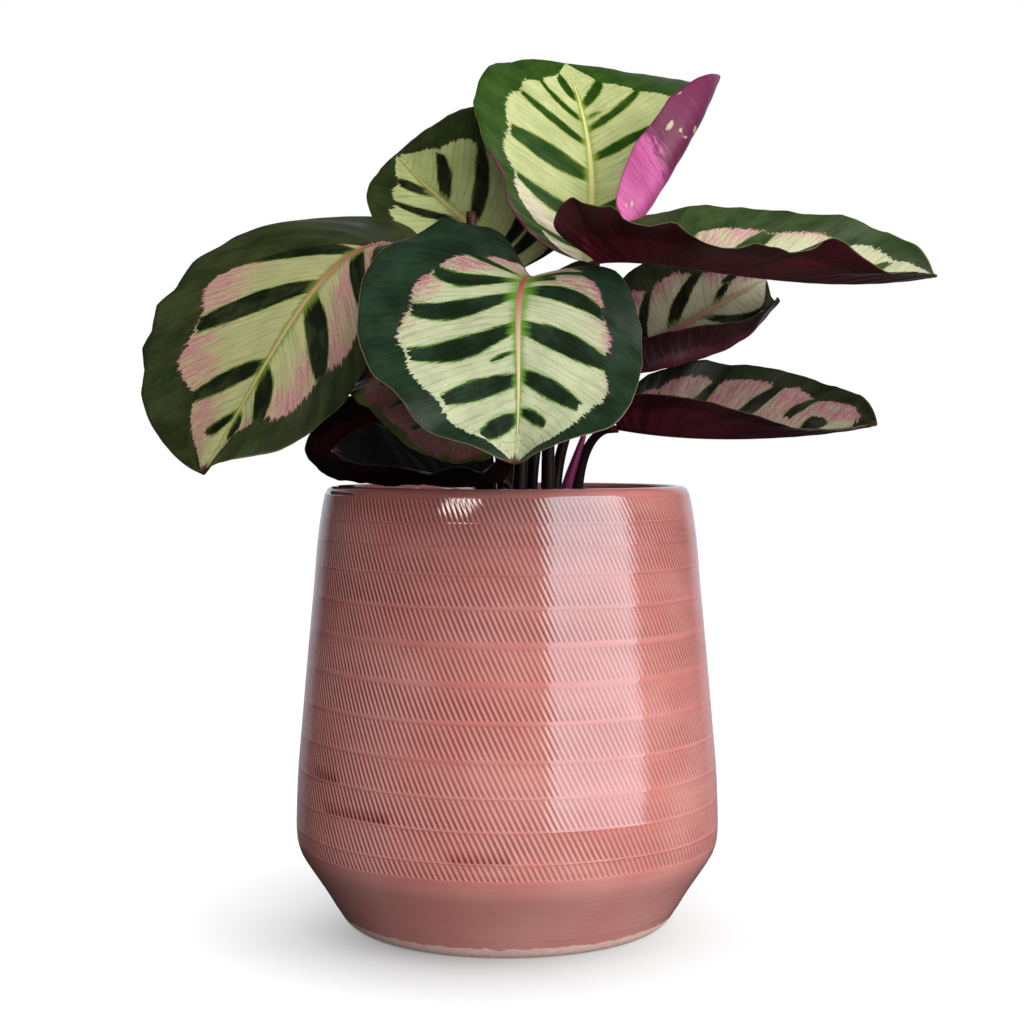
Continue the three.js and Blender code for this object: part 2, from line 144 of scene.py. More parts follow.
FRONT_RIGHT = dict(
    half=66, lobe=0.13, fold=(31, 3, 23), curl=(-37, 25, -2),
    lift=[2.5, -2.5, -5, 3, 2, -1, -2, -1, 4, -4, 1.5],
    bulges=[
        (5, 0), (11, 0.1), (16.4, 0.6), (20, 0.2), (26.5, 0), (28.9, 0.9), (33.6, 1.1), (40.4, 1.2),
        (45.3, 0.5), (50.9, -0.2), (62.6, 0.1), (67.1, 0.4), (72.1, -0.4), (75.6, 0.8), (79.2, 1.2),
        (84.3, 0.1), (88.4, -0.2), (95, 0),
    ],
    zone=[10, 20, 25, 45, 63, 70, 77, 78, 75, 77, 50], pink=[1, 1, 1, 0.8, 0.4, 0.2, 0.05, 0],
    bars=[
        (5, 62, 27, 30, 29, 1.9), (5, 58, 36, 42.5, 40, 3.1), (5, 66, 49, 54, 52, 3.4),
        (5, 71, 64, 66.8, 64.5, 3.5), (5, 20, 72.2, 72.4, 73, 0.9), (6, 66, 80.2, 79.5, 79.2, 2.9),
        (6, 64, 90, 90.5, 91.2, 2.6),
    ],
)
LEFT_LEFT = dict(
    half=39, lobe=-0.07, fold=(15, -6, 22), curl=(3, -36, -9),
    lift=[0, 0, 0, 0, 0, 0, -0.5, -0.5, 0.5, -2, 1, 5.5, 5.5],
    bulges=[
        (40, 0), (48.2, 1.1), (55.4, 1.6), (62.5, 1.5), (68.6, 1.8), (75.8, 0.9), (80.6, 0.3),
        (87.6, 0.3), (95, 0),
    ],
    zone=[10, 20, 30, 40, 55, 69, 68, 70, 67, 45, 20],
    pink=[1, 1, 1, 1, 1, 0.95, 0.8, 0.6, 0.5, 0.4, 0.1],
    bars=[
        (5, 50, 27, 27, 27, 3), (5, 56, 43, 43, 44, 5.2), (4, 62, 65, 65.2, 65.5, 4.2),
        (4, 56, 83, 83.2, 83.5, 3), (4, 33, 91.5, 91.5, 91, 2.2),
    ],
)
LEFT_RIGHT = dict(
    half=67, lobe=0.06, fold=(4, -1, 6), curl=(-15, 14, 3),
    lift=[-2.5, -2.5, 1, 0, 1, 1.5, 0.5, 1, 0, 0, 0.5, -2.5, -3],
    bulges=[
        (24, 0), (26.4, 0.3), (30.4, 0.8), (32.9, -0.4), (37.9, 0.4), (40.1, -0.7), (44.5, 1.2),
        (50, -1.5), (53.9, 1.8), (59.1, -1.6), (63.1, 1), (67.7, -2.4), (73.5, 0.4), (78, -0.8),
        (82.3, 0.2), (87.5, -0.5), (95, 0),
    ],
    zone=[5, 6, 6, 5, 3, 76, 70, 76, 65, 66, 60],
    pink=[1, 1, 0.95, 0.85, 0.5, 0.38, 0.42, 0.4, 0.5, 0.6, 0.1],
    bars=[
        (3, 90, 45.2, 45.6, 45, 3.4), (4, 67, 61.5, 62.5, 63.5, 3.6), (4, 62, 81.8, 81.5, 81.5, 2.4),
        (4, 46, 90.8, 91.6, 91.2, 1.4),
    ],
)
TOP_LEFT = dict(
    half=59, lobe=-0.02, fold=(32, 31, 8), curl=(17, -17, -12),
    lift=[0, 0.5, 3.5, -2, -1.5, 0, 2.5, -1.5, -1],
    bulges=[(30, 0), (38.5, -1.6), (46.5, 0.1), (58.4, -0.5), (64.2, -0.6), (78, -0.1), (95, 0)],
    crease=dict(at=(0.78, 0.99, 1.2), by=(150, 90, 0), soft=0.25),
    zone=[30, 50, 61, 74, 75, 75, 76, 73, 66, 47, 30], pink=[1, 1, 0.8, 0.6, 0.1, 0],
    bars=[
        (5, 62, 20, 20.5, 22, 2.2), (5, 68, 39, 38, 40, 3.2), (5, 68, 57.2, 56, 55.2, 4),
        (3, 66, 69.8, 70, 71, 2), (6, 56, 78.3, 79.5, 83.2, 1.6), (7, 38, 86.8, 88.5, 91, 3.2),
    ],
)
TOP_RIGHT = dict(
    half=76, lobe=-0.01, fold=(28, 25, 4), curl=(2, -18, -4),
    lift=[0, 0, 3.5, -3, -5.5, -1.5, -0.5, -0.5, 0], scallops=(1.8, 6),
    crease=dict(at=(0.36, 0.79, 1.1), by=(105, 163, 150), soft=0.36),
    zone=[30, 50, 65, 75, 80, 78, 72, 66, 57, 43, 40], pink=[1, 0.8, 0.6, 0.4, 0.1, 0],
    bars=[
        (5, 60, 24, 23, 22, 2.5), (5, 66, 42, 41, 40, 3.5), (5, 40, 64, 63.2, 63, 2.2),
        (4, 56, 74.8, 75.7, 78.5, 1.7), (3, 16, 78.8, 78.8, 78.5, 0.7), (2, 43, 83.5, 86.2, 88.8, 2.2),
    ],
)
BACK_LEFT_LEFT = dict(
    half=35, lobe=0.06, fold=(11, 18, 8), curl=(0, 3, 0), lift=[0, 0, 0, 0, 0, 0, 0.5, 0, -1],
    zone=[20, 40, 60, 70, 75, 78, 78, 76, 65, 53, 40], pink=[1, 0.6, 0.3, 0.1, 0],
    bars=[
        (5, 60, 30, 32, 34, 3), (5, 60, 50, 52, 55, 3.5), (6, 62, 68, 71.5, 75.7, 2.8),
        (4, 48, 82.5, 84.8, 86.8, 3.3),
    ],
)
BACK_LEFT_RIGHT = dict(
    half=52, lobe=0.1, fold=(11, 20, 8), curl=(0, 6, -1), lift=[0, 0, 0, 0, 0, 1, 0, -0.5, 0],
    bulges=[(0, 6), (5, 10), (10, 8), (20, 3), (28, 0)],
    zone=[20, 40, 55, 65, 70, 73, 72, 70, 64, 53, 40], pink=[1, 0.6, 0.3, 0.1, 0],
    bars=[
        (3, 60, 33, 33, 33, 4.2), (3, 60, 42, 42, 43, 3.5), (3, 67, 62.8, 63.5, 65.5, 3.4),
        (3, 50, 77.5, 79, 81.8, 3.3),
    ],
)
UPPER_RIGHT_LEFT = dict(
    half=41, lobe=0.05, fold=(19, 16, 26), curl=(-6, -3, 8), lift=[0, 1.5, -3, -0.5, 0, 0, 2, -1.5, 2.5],
    scallops=(1.2, 10), zone=[20, 40, 50, 55, 56, 60, 70, 70, 72, 63, 60],
    pink=[1, 1, 1, 0.9, 0.9, 0.8, 0.3, 0.1, 0],
    bars=[
        (4, 60, 26, 27, 29, 2.8), (4, 60, 41, 42, 44, 3), (4, 62, 57, 58.5, 60, 2.8),
        (4, 68, 73, 74, 75.5, 2.6), (4, 50, 86, 87, 88.5, 1.8),
    ],
)
UPPER_RIGHT_RIGHT = dict(
    half=44, lobe=0.15, fold=(44, 53, 42), curl=(-3, -4, 2),
    lift=[0, 0, 0, 0, -1, 1.5, 3, 1, -2.5, 1, -1.5, 8.5, 0, -5, -2.5, -1, 0, 0, 0],
    ruffles=[
        (15, 0), (20, 3), (25, 5.5), (27.5, 2.2), (29.5, 2), (31.1, 4.3), (32, -1), (33, -2.7),
        (34.8, -2.6), (37.3, 2.3), (38.5, -0.8), (40.7, -2.6), (43.1, -1.6), (46.8, 2), (48.9, -0.8),
        (51.9, -1.5), (54.3, 2.4), (57.1, 3.6), (59.9, -0.8), (62.4, -1.4), (65.6, 1.2), (70, 2),
        (80, 0),
    ],
    zone=[20, 40, 55, 60, 64, 68, 70, 70, 70, 62, 50], pink=[1, 1, 1, 0.8, 0.6, 0.4, 0.2, 0.1, 0],
    bars=[
        (4, 56, 25, 26, 28, 2.8), (4, 62, 40, 41, 43, 3), (4, 62, 56, 57, 59, 2.8),
        (4, 66, 71, 72, 74, 2.6), (4, 50, 84, 85, 87, 2),
    ],
)
MIDDLE_RIGHT_LEFT = dict(
    half=40, lobe=0.12, fold=(14, 2, 5), curl=(4, -14, 0), lift=[0, 0, 0, 0.5, -0.5, 0, 0, 0, 0],
    zone=[30, 50, 62, 70, 74, 66, 62, 56, 50, 50, 40],
    pink=[1, 1, 1, 0.9, 0.5, 0.45, 0.3, 0.3, 0.5, 0.6, 0.3],
    bars=[
        (5, 50, 20, 24, 30, 3), (8, 62, 36, 42, 49, 3.5), (2, 52, 53, 61, 70, 4.6),
        (2, 28, 76, 78.5, 82, 2.6), (26, 44, 80, 83, 86, 3),
    ],
)
MIDDLE_RIGHT_RIGHT = dict(
    half=39, lobe=0.13, fold=(12, 3, -9), curl=(13, -43, -27),
    lift=[0, 0, -0.5, 0, 1.5, -1.5, -2, 0.5, 0],
    crease=dict(at=(0.48, 0.53, 0.3), by=(152, 144, 147), soft=0.3),
    zone=[30, 50, 60, 66, 70, 72, 72, 72, 70, 64, 50], pink=[1, 1, 0.8, 0.6, 0.5, 0.4, 0.3, 0.3, 0.2],
    bars=[(5, 60, 30, 32, 36, 3), (5, 60, 48, 52, 58, 3.2), (8, 60, 69.5, 77, 87, 3)],
)
LOWER_RIGHT_LEFT = dict(
    half=40, lobe=0.04, fold=(43, 34, 15), curl=(4, -5, -9), lift=[0, 0, -0.5, 3, -1, 0.5, -1.5, -1, 2.5],
    zone=[30, 50, 65, 75, 76, 77, 78, 80, 70, 74, 30], pink=[1, 1, 1, 1, 1, 1, 0.95, 0.9, 0.9, 0.7, 0.2],
    bars=[
        (5, 60, 27, 28, 30, 2.8), (5, 72, 45, 47, 50, 2.6), (5, 74, 60, 64, 66.8, 2.8),
        (30, 65, 75.5, 76.5, 78.2, 2), (10, 36, 83, 84, 83, 3.4),
    ],
)
LOWER_RIGHT_RIGHT = dict(
    half=32, lobe=0.09, fold=(66, 51, 37), curl=(8, -7, -9), lift=[0, -0.5, 0.5, 1, 0, -2, -1, 0, 0],
    zone=[30, 50, 62, 70, 74, 76, 76, 74, 70, 60, 40],
    pink=[1, 1, 1, 1, 0.9, 0.8, 0.8, 0.7, 0.5, 0.3, 0.2],
    bars=[
        (5, 60, 26, 28, 30, 2.8), (5, 66, 43, 45, 48, 2.8), (5, 68, 60, 62, 65, 2.8),
        (5, 60, 76, 77, 79, 2.2),
    ],
)
SMALL_LEFT = dict(
    half=29, lobe=0.1, fold=(11, 2, -9), curl=(0, -2, -5), lift=[0, 0, 0, 0, 0, 0, 0, -1, -1],
    ruffles=[
        (10, 0), (20, 1.4), (30, -1.4), (42, 1.6), (53, -1.2), (62, 1.4), (74, -1.4), (83, 1), (95, 0),
    ],
    zone=[40, 60, 74, 82, 86, 88, 88, 86, 84, 80, 70], pink=[1],
    bars=[
        (5, 60, 30, 32, 35, 2.6), (5, 60, 50, 52, 55, 2.8), (5, 60, 70, 72, 75, 2.4),
        (5, 50, 86, 87, 89, 1.8),
    ],
)
SMALL_RIGHT = dict(
    half=54, lobe=0.22, fold=(-2, -11, -10), curl=(-27, -27, -7), lift=[0, 0, 0, 0, 1, 0, -1, -1, 1],
    bulges=[(25, 0), (35, 2.5), (46, 3.5), (55, 1), (60, 0)],
    ruffles=[(10, 0), (22, -1.4), (33, 1.6), (44, -1.4), (55, 1.6), (67, -1.4), (78, 1.2), (95, 0)],
    zone=[40, 60, 76, 86, 90, 92, 92, 92, 90, 86, 75], pink=[1],
    bars=[
        (5, 60, 30, 32, 35, 2.4), (30, 74, 52, 54, 56, 2.4), (30, 76, 68, 70, 73, 2.2),
        (20, 70, 82, 83, 85, 1.8),
    ],
)
LOW_LEFT_BOTH = dict(
    zone=[20, 40, 55, 62, 66, 68, 68, 66, 62, 55, 40], pink=[1, 1, 1, 0.9, 0.8, 0.6, 0.5, 0.4, 0.3, 0.2],
)
LOW_LEFT_LEFT = dict(
    LOW_LEFT_BOTH, half=38, lobe=0.02, fold=(6, -3, -3), curl=(1, -9, -5),
    lift=[0, 0, 0, 0, 0, -0.5, -0.5, 0, -1.5],
    bars=[
        (5, 55, 30, 32, 35, 3), (5, 60, 50, 52, 55, 3.2), (5, 60, 70, 72, 75, 2.8),
        (5, 45, 86, 87, 89, 1.8),
    ],
)
LOW_LEFT_RIGHT = dict(
    LOW_LEFT_BOTH, half=19, lobe=0, fold=(6, -2, 1), curl=(1, -5, -3),
    lift=[0, 0, 0, 0, 0, 0, -3, -0.5, 1],
    bars=[(5, 55, 30, 32, 35, 3), (5, 60, 50, 52, 55, 3.2), (5, 60, 70, 72, 75, 2.8)],
)
RIM_LEFT_BOTH = dict(
    zone=[10, 15, 20, 20, 20, 20, 20, 20, 20, 15, 10], pink=[1],
    bars=[(2, 30, 30, 30, 30, 10), (2, 30, 60, 60, 60, 12)],
)
RIM_LEFT_LEFT = dict(
    RIM_LEFT_BOTH, half=20, lobe=0.06, fold=(54, 39, 32), curl=(-3, -19, -18),
    lift=[0, 0, 0, -2, 0.5, -0.5, 0.5, 0, 0],
    ruffles=[
        (10, 0), (22, -1.2), (30, 1.5), (40, -1.6), (50, 1), (57, -1.2), (66, 1.5), (76, -1), (90, 0),
    ],
)
RIM_LEFT_RIGHT = dict(
    RIM_LEFT_BOTH, half=30, lobe=0.08, fold=(41, 36, 39), curl=(1, -6, -2),
    lift=[0, 0, 0, 0, 0, 0, -1, 1.5, -1],
    ruffles=[
        (10, 0), (20, 1.6), (30, -1.4), (36, 1.8), (45, -1), (52, 1.4), (60, -1.6), (70, 1.2), (85, 0),
    ],
)
LEAVES = {
    "front": dict(
        crown=(5.5, -3), stalk=3.5, look="cool",
        rib=[(11, -44, 295), (0, -83, 294), (8, -109, 246), (3, -128, 213)],
        face=[(-0.14, -0.67, 0.09), (-0.05, -0.97, 0.27)], slant=1.8, zone_end=1.05, dry_tip=0.5,
        left=FRONT_LEFT, right=FRONT_RIGHT,
    ),
    "left": dict(
        crown=(-8, -1), stalk=3.1, look="olive",
        rib=[(-49, -13, 312), (-83, -9, 322), (-103, -48, 259), (-132, -62, 208)],
        face=[(0.06, -0.29, 0.86), (-0.47, -0.81, 0.3)], slant=2.4, zone_end=1.03, dry_tip=0.4,
        left=LEFT_LEFT, right=LEFT_RIGHT,
    ),
    "top": dict(
        crown=(10.5, 6), stalk=3.3, look="fresh",
        rib=[(36.5, 12, 307.5), (42.5, 13, 334), (42.5, 29, 372.5), (29, 71, 413.5)],
        face=[(-0.24, -0.92, 0.21), (0.34, -0.82, 0.48)], slant=1.9, zone_end=1, dry_tip=0,
        scars=[
            (0.85, 0.44, 2.0), (0.97, 0.49, 1.6), (0.73, 0.45, 1.6), (0.77, 0.455, 1.1),
            (0.7, 0.46, 1.2), (0.69, 0.49, 1.5), (0.66, 0.485, 1.1), (0.73, 0.49, 1), (0.62, 0.5, 1.2),
            (0.66, 0.52, 1.1), (0.94, 0.26, 1.5), (0.8, 0.27, 1.5), (0.86, 0.255, 1.1),
            (0.78, 0.55, 0.9),
        ],
        left=TOP_LEFT, right=TOP_RIGHT,
    ),
    "back_left": dict(
        crown=(-0.5, 13), stalk=3, look="shade",
        rib=[(4, 29, 305), (-12, 40, 326), (-41, 45, 346), (-56, 65, 367)],
        face=[(-0.03, -0.93, 0.27), (-0.21, -1, 0.19)], slant=2.2, zone_end=1, dry_tip=0.6,
        left=BACK_LEFT_LEFT, right=BACK_LEFT_RIGHT,
    ),
    "upper_right": dict(
        crown=(19, -5), stalk=3.3, look="warm",
        rib=[(40.5, -44, 302), (71.5, -58, 304), (129.5, -24, 286.5), (194, -22, 298)],
        face=[(0.53, -0.25, 0.41), (0.14, -0.59, 0.71)], slant=1.8, zone_end=1.03, dry_tip=0.2,
        left=UPPER_RIGHT_LEFT, right=UPPER_RIGHT_RIGHT,
    ),
    "middle_right": dict(
        crown=(22, 4.5), stalk=3, look="blush",
        rib=[(55, 4, 262), (79, -2, 275), (107, -1, 291), (123, 17, 300)],
        face=[(-0.37, -0.69, 0.53), (0.15, -0.6, 0.05)], slant=1.8, zone_end=1, dry_tip=0,
        left=MIDDLE_RIGHT_LEFT, right=MIDDLE_RIGHT_RIGHT,
    ),
    "lower_right": dict(
        crown=(32, 1.5), stalk=3.2, look="rosy",
        rib=[(52, -9, 229), (85, -14, 222), (136, 0, 223), (171, -10, 231)],
        face=[(0.03, -0.4, 0.98), (0.01, -0.57, 0.81)], slant=1.8, zone_end=0.94, dry_tip=0.3,
        left=LOWER_RIGHT_LEFT, right=LOWER_RIGHT_RIGHT,
    ),
    "small": dict(
        crown=(-1.5, -9), stalk=2.6, look="young",
        rib=[(-13, -23, 263), (-14, -56, 250), (-20, -76, 232), (-25, -62, 213)],
        face=[(0.14, -0.8, 0.57), (0.1, -0.99, 0.2)], slant=1.8, zone_end=0.97, dry_tip=0,
        left=SMALL_LEFT, right=SMALL_RIGHT,
    ),
    "low_left": dict(
        crown=(-9, 14), stalk=2.5, look="dark",
        rib=[(-26, 16, 211), (-48, 20, 218), (-77, 21, 219.5), (-96, 14, 221.5)],
        face=[(0, 0.7, 0.7), (0.01, 0.78, 0.52)], slant=1.8, zone_end=0.97, dry_tip=0,
        left=LOW_LEFT_LEFT, right=LOW_LEFT_RIGHT,
    ),
    "rim_left": dict(
        crown=(3, -18), stalk=2.4, look="dark",
        rib=[(-3, -17, 205), (-27, -39, 199), (-51, -57, 205), (-76, -53, 219)],
        face=[(-0.05, -0.12, 1.01), (-0.19, -0.42, 1.03)], slant=1.8, zone_end=0.9, dry_tip=0.8,
        left=RIM_LEFT_LEFT, right=RIM_LEFT_RIGHT,
    ),
}

# The colours of each look. margin, bar and pale make the upper side's pattern, with fringe along
# the midrib, pink at the outer ends of the pale bands, and rib to rib_tip for the midrib itself.
# The underside is under below the margin and under_zone below the pale zone, with under_vein on
# its veins; under_zone is partly the underside's own colour and partly painted light shining through
# the blade. base is painted shade on the margin near the leaf's base.
BURGUNDY = dict(under="#1f0a10", under_zone="#3c1220", under_vein="#5a2030")
ROSY = dict(
    margin="#141a0c", margin_light="#343f22", bar="#12170d", pale="#a8a486", fringe="#7f8250",
    pink="#9b5468", rib="#b05058", rib_tip="#bd8378", edge="#5c5040",
    under="#331019", under_zone="#551c2c", under_vein="#6b2436",
)
LOOKS = dict(
    cool=dict(
        BURGUNDY, margin="#101d10", margin_light="#26402a", bar="#11200e", pale="#b3b792",
        fringe="#5b8524", pink="#95485f", rib="#9c4249", rib_tip="#d2b795", edge="#9c8069",
        # base: painted shade on the margin near the leaf's base
        base="#0b0e09",
    ),
    olive=dict(
        BURGUNDY, margin="#1a240d", margin_light="#3e4723", bar="#10180a", pale="#a5a673",
        fringe="#66792a", pink="#a0646e", rib="#98424b", rib_tip="#b09c6c", edge="#6f6044",
    ),
    shade=dict(
        BURGUNDY, margin="#1c2a0e", margin_light="#3c4a22", bar="#141a0d", pale="#b4bd7c",
        fringe="#7d8a3c", pink="#95685f", rib="#a07858", rib_tip="#b3a86a", edge="#6a6240",
    ),
    fresh=dict(
        margin="#20380a", margin_light="#3e6019", bar="#1b3c07", pale="#babf84", fringe="#7f962a",
        pink="#dcc3bd", rib="#b7ab6c", rib_tip="#cfcb8c", edge="#7c5a3c",
        under="#6b2849", under_zone="#c9599a", under_vein="#93406f",
    ),
    warm=dict(
        margin="#1b300e", margin_light="#43552a", bar="#1f3812", pale="#c0c19a", fringe="#7a8c34",
        pink="#b0707c", rib="#a8504f", rib_tip="#d0c08c", edge="#7c7a48",
        under="#4d1b23", under_zone="#6f2534", under_vein="#6e2834",
    ),
    young=dict(
        margin="#34401a", margin_light="#5c6230", bar="#171f10", pale="#7d5a52", fringe="#5d5f36",
        pink="#70303f", rib="#7c3c44", rib_tip="#855850", edge="#75753e",
        under="#1c070d", under_zone="#34101c", under_vein="#4a1626",
    ),
    dark=dict(
        margin="#0a0c0b", margin_light="#20231f", bar="#070908", pale="#1e1e18", fringe="#181a12",
        pink="#481024", rib="#2a1016", rib_tip="#36201a", edge="#33241c",
        under="#220b10", under_zone="#44101f", under_vein="#3c1020",
    ),
    rosy=ROSY,
    blush=dict(ROSY, pale="#bbb697", margin_light="#3c4829"),
)
# How much closer the green beside the midrib counts near the base, so that it is wider there
FRINGE_NARROW = {"cool": 0.45}
# The underside that rolls up at the edge: its widest, in mm, and where along the leaf it ends
ROLLED_EDGE = {"fresh": (8.5, 0.42)}
# How many millimetres the underside's bright zone, partly painted light shining through the blade,
# reaches past the upper side's, and its last place along the blade, which is past the tip on a plain
# underside
UNDER_SPREAD = {"fresh": 24.0}
UNDER_REACH = {"fresh": 0.395}
PLAIN_REACH = 1.2
ROLLED_STRIP = "#5f3033"
DRY_TIP = "#4d3022"
DUST = "#8e9888"
SCAR = "#bfb798"
STALK_COLOURS = dict(skin="#140609", blush="#300c15", joint="#522424")
SHEATH_COLOURS = dict(skin="#6b1244", blush="#a03474", joint="#c987a8")
# GLAZE_NICK is glaze pooled in the nicks and also painted shade there. GLAZE_PALE is a paler glaze and
# also painted light on the nicks' ridges and the lower cone; GLAZE_DEEP is darker glaze and also painted
# shade towards the top.
GLAZE = "#c2766f"
GLAZE_DEEP = "#5e2423"
GLAZE_NICK = "#843632"
GLAZE_PALE = "#d29a93"
GLAZE_POOL = "#7a2422"
BARE_CLAY = "#e4c0b5"
CLAY_GRAIN = "#c89f94"
SOIL_DARK = "#0f0a08"
SOIL_BROWN = "#2a1c14"
BARK = "#4a3526"

# The studio
CAMERA_AT = (0.0022, -0.822, 0.2184)
CAMERA_PITCH = 2.014
FOCAL_PIXELS = 1755
PHOTO_PIXELS = 1024
SENSOR = 36
SUN_STRENGTH = 2.3
SUN_HEIGHT = 48
SUN_SIDE = 37
SUN_SPREAD = 60
# Light panels: degrees round from the front, height, width, how tall, power and tint
SOFTBOX = (49, 0.5, 1.27, 1.22, 37, (0.68, 0.9, 1.0))
WINDOW = (-27.5, 0.64, 0.4, 0.055, 1.5, (1, 0.93, 0.9))
SHEEN = (49, 0.7, 1.2, 1.2, 14, (1, 1, 0.93))
PANEL_AWAY = 1.25
SOFT_FROM = (0.62, -0.66, 0.42)
SOFT_LIGHT = (0.02, 1.4)
GLOSS_LIGHT = 0.03
EDGE_GLOSS = (0.5, 0.85)
GLOSS_TINT = (0.89, 0.9, 1.0, 1)
FLOOR_SIZE = 6000
FLOOR_GLOW = 0.92
FLOOR_SHADE_REACH = 0.065


def colour(code):
    """A linear colour with alpha from a screen colour written as #rrggbb."""
    parts = [int(code[i:i + 2], 16) / 255 for i in (1, 3, 5)]
    linear = [p / 12.92 if p <= 0.04045 else ((p + 0.055) / 1.055) ** 2.4 for p in parts]
    return (*linear, 1)


def smooth(value, low, high):
    """0 below low, 1 above high, and a smooth step between them."""
    x = np.clip((value - low) / (high - low), 0, 1)
    return x * x * (3 - 2 * x)


def unit(vectors):
    return vectors / np.maximum(np.linalg.norm(vectors, axis=-1, keepdims=True), 1e-9)


def parabola(values, s):
    """The parabola through three values, read at s from 0 to 1."""
    first, middle, last = values
    return first * (1 - s) * (1 - 2 * s) + 4 * middle * s * (1 - s) + last * s * (2 * s - 1)


def bezier(points, s):
    """The curve with four control points, read at s from 0 to 1."""
    p = np.array(points, dtype=float)
    s = s[..., None]
    return ((1 - s) ** 3 * p[0] + 3 * s * (1 - s) ** 2 * p[1]
            + 3 * s ** 2 * (1 - s) * p[2] + s ** 3 * p[3])


def arc_lengths(path):
    """The distance along a path at each of its points."""
    return np.concatenate([[0], np.cumsum(np.linalg.norm(np.diff(path, axis=0), axis=1))])


def wavy_noise(x, seed):
    """A smooth curve of x between about -1 and 1, different for each seed."""
    rng = np.random.default_rng(seed)
    total = np.zeros_like(x)
    for k in range(4):
        total += np.sin(2 * math.pi * (x * 1.7 ** k + rng.random())) * 0.6 ** k
    return total / 2.2


def ring_noise(turn, seed, counts=(2, 5, 11, 19)):
    """A smooth curve of the angle that closes on itself, between about -1 and 1."""
    rng = np.random.default_rng(seed)
    waves = [np.sin(n * turn + rng.uniform(0, 6.28)) * 0.7 ** k for k, n in enumerate(counts)]
    return sum(waves) / 2.2


def add_to_scene(name, data):
    """A new object that shows a mesh, a camera or a light."""
    piece = bpy.data.objects.new(name, data)
    bpy.context.scene.collection.objects.link(piece)
    return piece


def add_mesh(name, points, faces, *materials):
    """A mesh object in metres from points in millimetres."""
    mesh = bpy.data.meshes.new(name)
    mesh.from_pydata(np.asarray(points) * MM, [], faces)
    mesh.update()
    for material in materials:
        mesh.materials.append(material)
    mesh.shade_smooth()
    return add_to_scene(name, mesh)


def add_values(piece, **values):
    """Values at each point of the mesh, for its material to read."""
    for name, numbers in values.items():
        attribute = piece.data.attributes.new(name, "FLOAT", "POINT")
        attribute.data.foreach_set("value", np.asarray(numbers, dtype=np.float32).ravel())


def add_map(piece, coordinates):
    """A UV map from one pair of coordinates for each point."""
    loops = np.empty(len(piece.data.loops), dtype=np.int32)
    piece.data.loops.foreach_get("vertex_index", loops)
    layer = piece.data.uv_layers.new(name="Surface")
    layer.data.foreach_set("uv", coordinates[loops].astype(np.float32).ravel())


def grid_faces(rows, columns, first=0, around=False, flip=False):
    """The faces of a grid of points, which closes on itself along its rows if around is set."""
    across = columns if around else columns - 1
    i, j = np.meshgrid(np.arange(rows - 1), np.arange(across), indexing="ij")
    a = first + i * columns + j
    b = first + i * columns + (j + 1) % columns
    quads = np.stack([a, b, b + columns, a + columns], axis=-1).reshape(-1, 4)
    return (quads[:, ::-1] if flip else quads).tolist()


def closed_grid(rows, columns):
    """The faces of a grid that closes on itself along its rows and has a lid at each end."""
    last = (rows - 1) * columns
    lids = [[*range(columns)][::-1], [*range(last, last + columns)]]
    return grid_faces(rows, columns, around=True) + lids


def place(piece, slot, *nodes):
    """Lets a piece ride on the one body, in place of the CAD nodes that it stands for."""
    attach(piece, "root")
    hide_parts(*nodes)


class Value:
    """A node's output. Arithmetic with it adds a math node."""

    def __init__(self, nodes, socket):
        self.nodes = nodes
        self.socket = socket

    def __add__(self, other):
        return self.nodes.math("ADD", self, other)

    def __sub__(self, other):
        return self.nodes.math("SUBTRACT", self, other)

    def __rsub__(self, other):
        return self.nodes.math("SUBTRACT", other, self)

    def __mul__(self, other):
        return self.nodes.math("MULTIPLY", self, other)


class Nodes:
    """Builds the nodes of a new material or world. A call that adds a node returns its output."""

    def __init__(self, owner):
        owner.use_nodes = True
        self.owner = owner
        self.tree = owner.node_tree
        self.shader = self.tree.nodes.get("Principled BSDF") or self.tree.nodes["Background"]

    def add(self, kind, inputs=(), output=0, **settings):
        """Adds a node with its settings and inputs, and returns one of its outputs."""
        node = self.tree.nodes.new("ShaderNode" + kind)
        for key, value in settings.items():
            setattr(node, key, value)
        for key, value in dict(inputs).items():
            self.put(node.inputs[key], value)
        return Value(self, node.outputs[output])

    def put(self, socket, value):
        """Links an output to an input, or sets the input to a number or a colour."""
        if isinstance(value, Value):
            self.tree.links.new(value.socket, socket)
        else:
            socket.default_value = colour(value) if isinstance(value, str) else value

    def set(self, **inputs):
        """Sets the shader's inputs. A name's underscores stand for spaces."""
        for key, value in inputs.items():
            self.put(self.shader.inputs[key.replace("_", " ")], value)

    def value(self, name):
        return self.add("Attribute", (), "Fac", attribute_name=name)

    def math(self, operation, a, b=0.0):
        return self.add("Math", {0: a, 1: b}, operation=operation)

    def step(self, value, low, high, start=0.0, end=1.0):
        inputs = {"Value": value, "From Min": low, "From Max": high, "To Min": start, "To Max": end}
        return self.add("MapRange", inputs, interpolation_type="SMOOTHSTEP")

    def mix(self, factor, a, b):
        return self.add("Mix", {0: factor, 6: a, 7: b}, 2, data_type="RGBA")

    def choose(self, factor, a, b):
        return self.add("Mix", {0: factor, 2: a, 3: b}, data_type="FLOAT")

    def noise(self, scale, detail, roughness=0.5, stretch=None):
        """Noise in space, or over the UV map, stretched by one factor across and one along."""
        if stretch:
            vector = self.add("Mapping", {"Vector": self.surface(), "Scale": (*stretch, 1)})
        else:
            vector = self.add("TexCoord", (), "Object")
        inputs = {"Vector": vector, "Scale": scale, "Detail": detail, "Roughness": roughness}
        return self.add("TexNoise", inputs, "Fac")

    def surface(self):
        return self.add("UVMap", uv_map="Surface")

    def bump(self, height, distance, strength):
        return self.add("Bump", {"Height": height, "Distance": distance, "Strength": strength})


def new_material(name):
    return Nodes(bpy.data.materials.new(name))


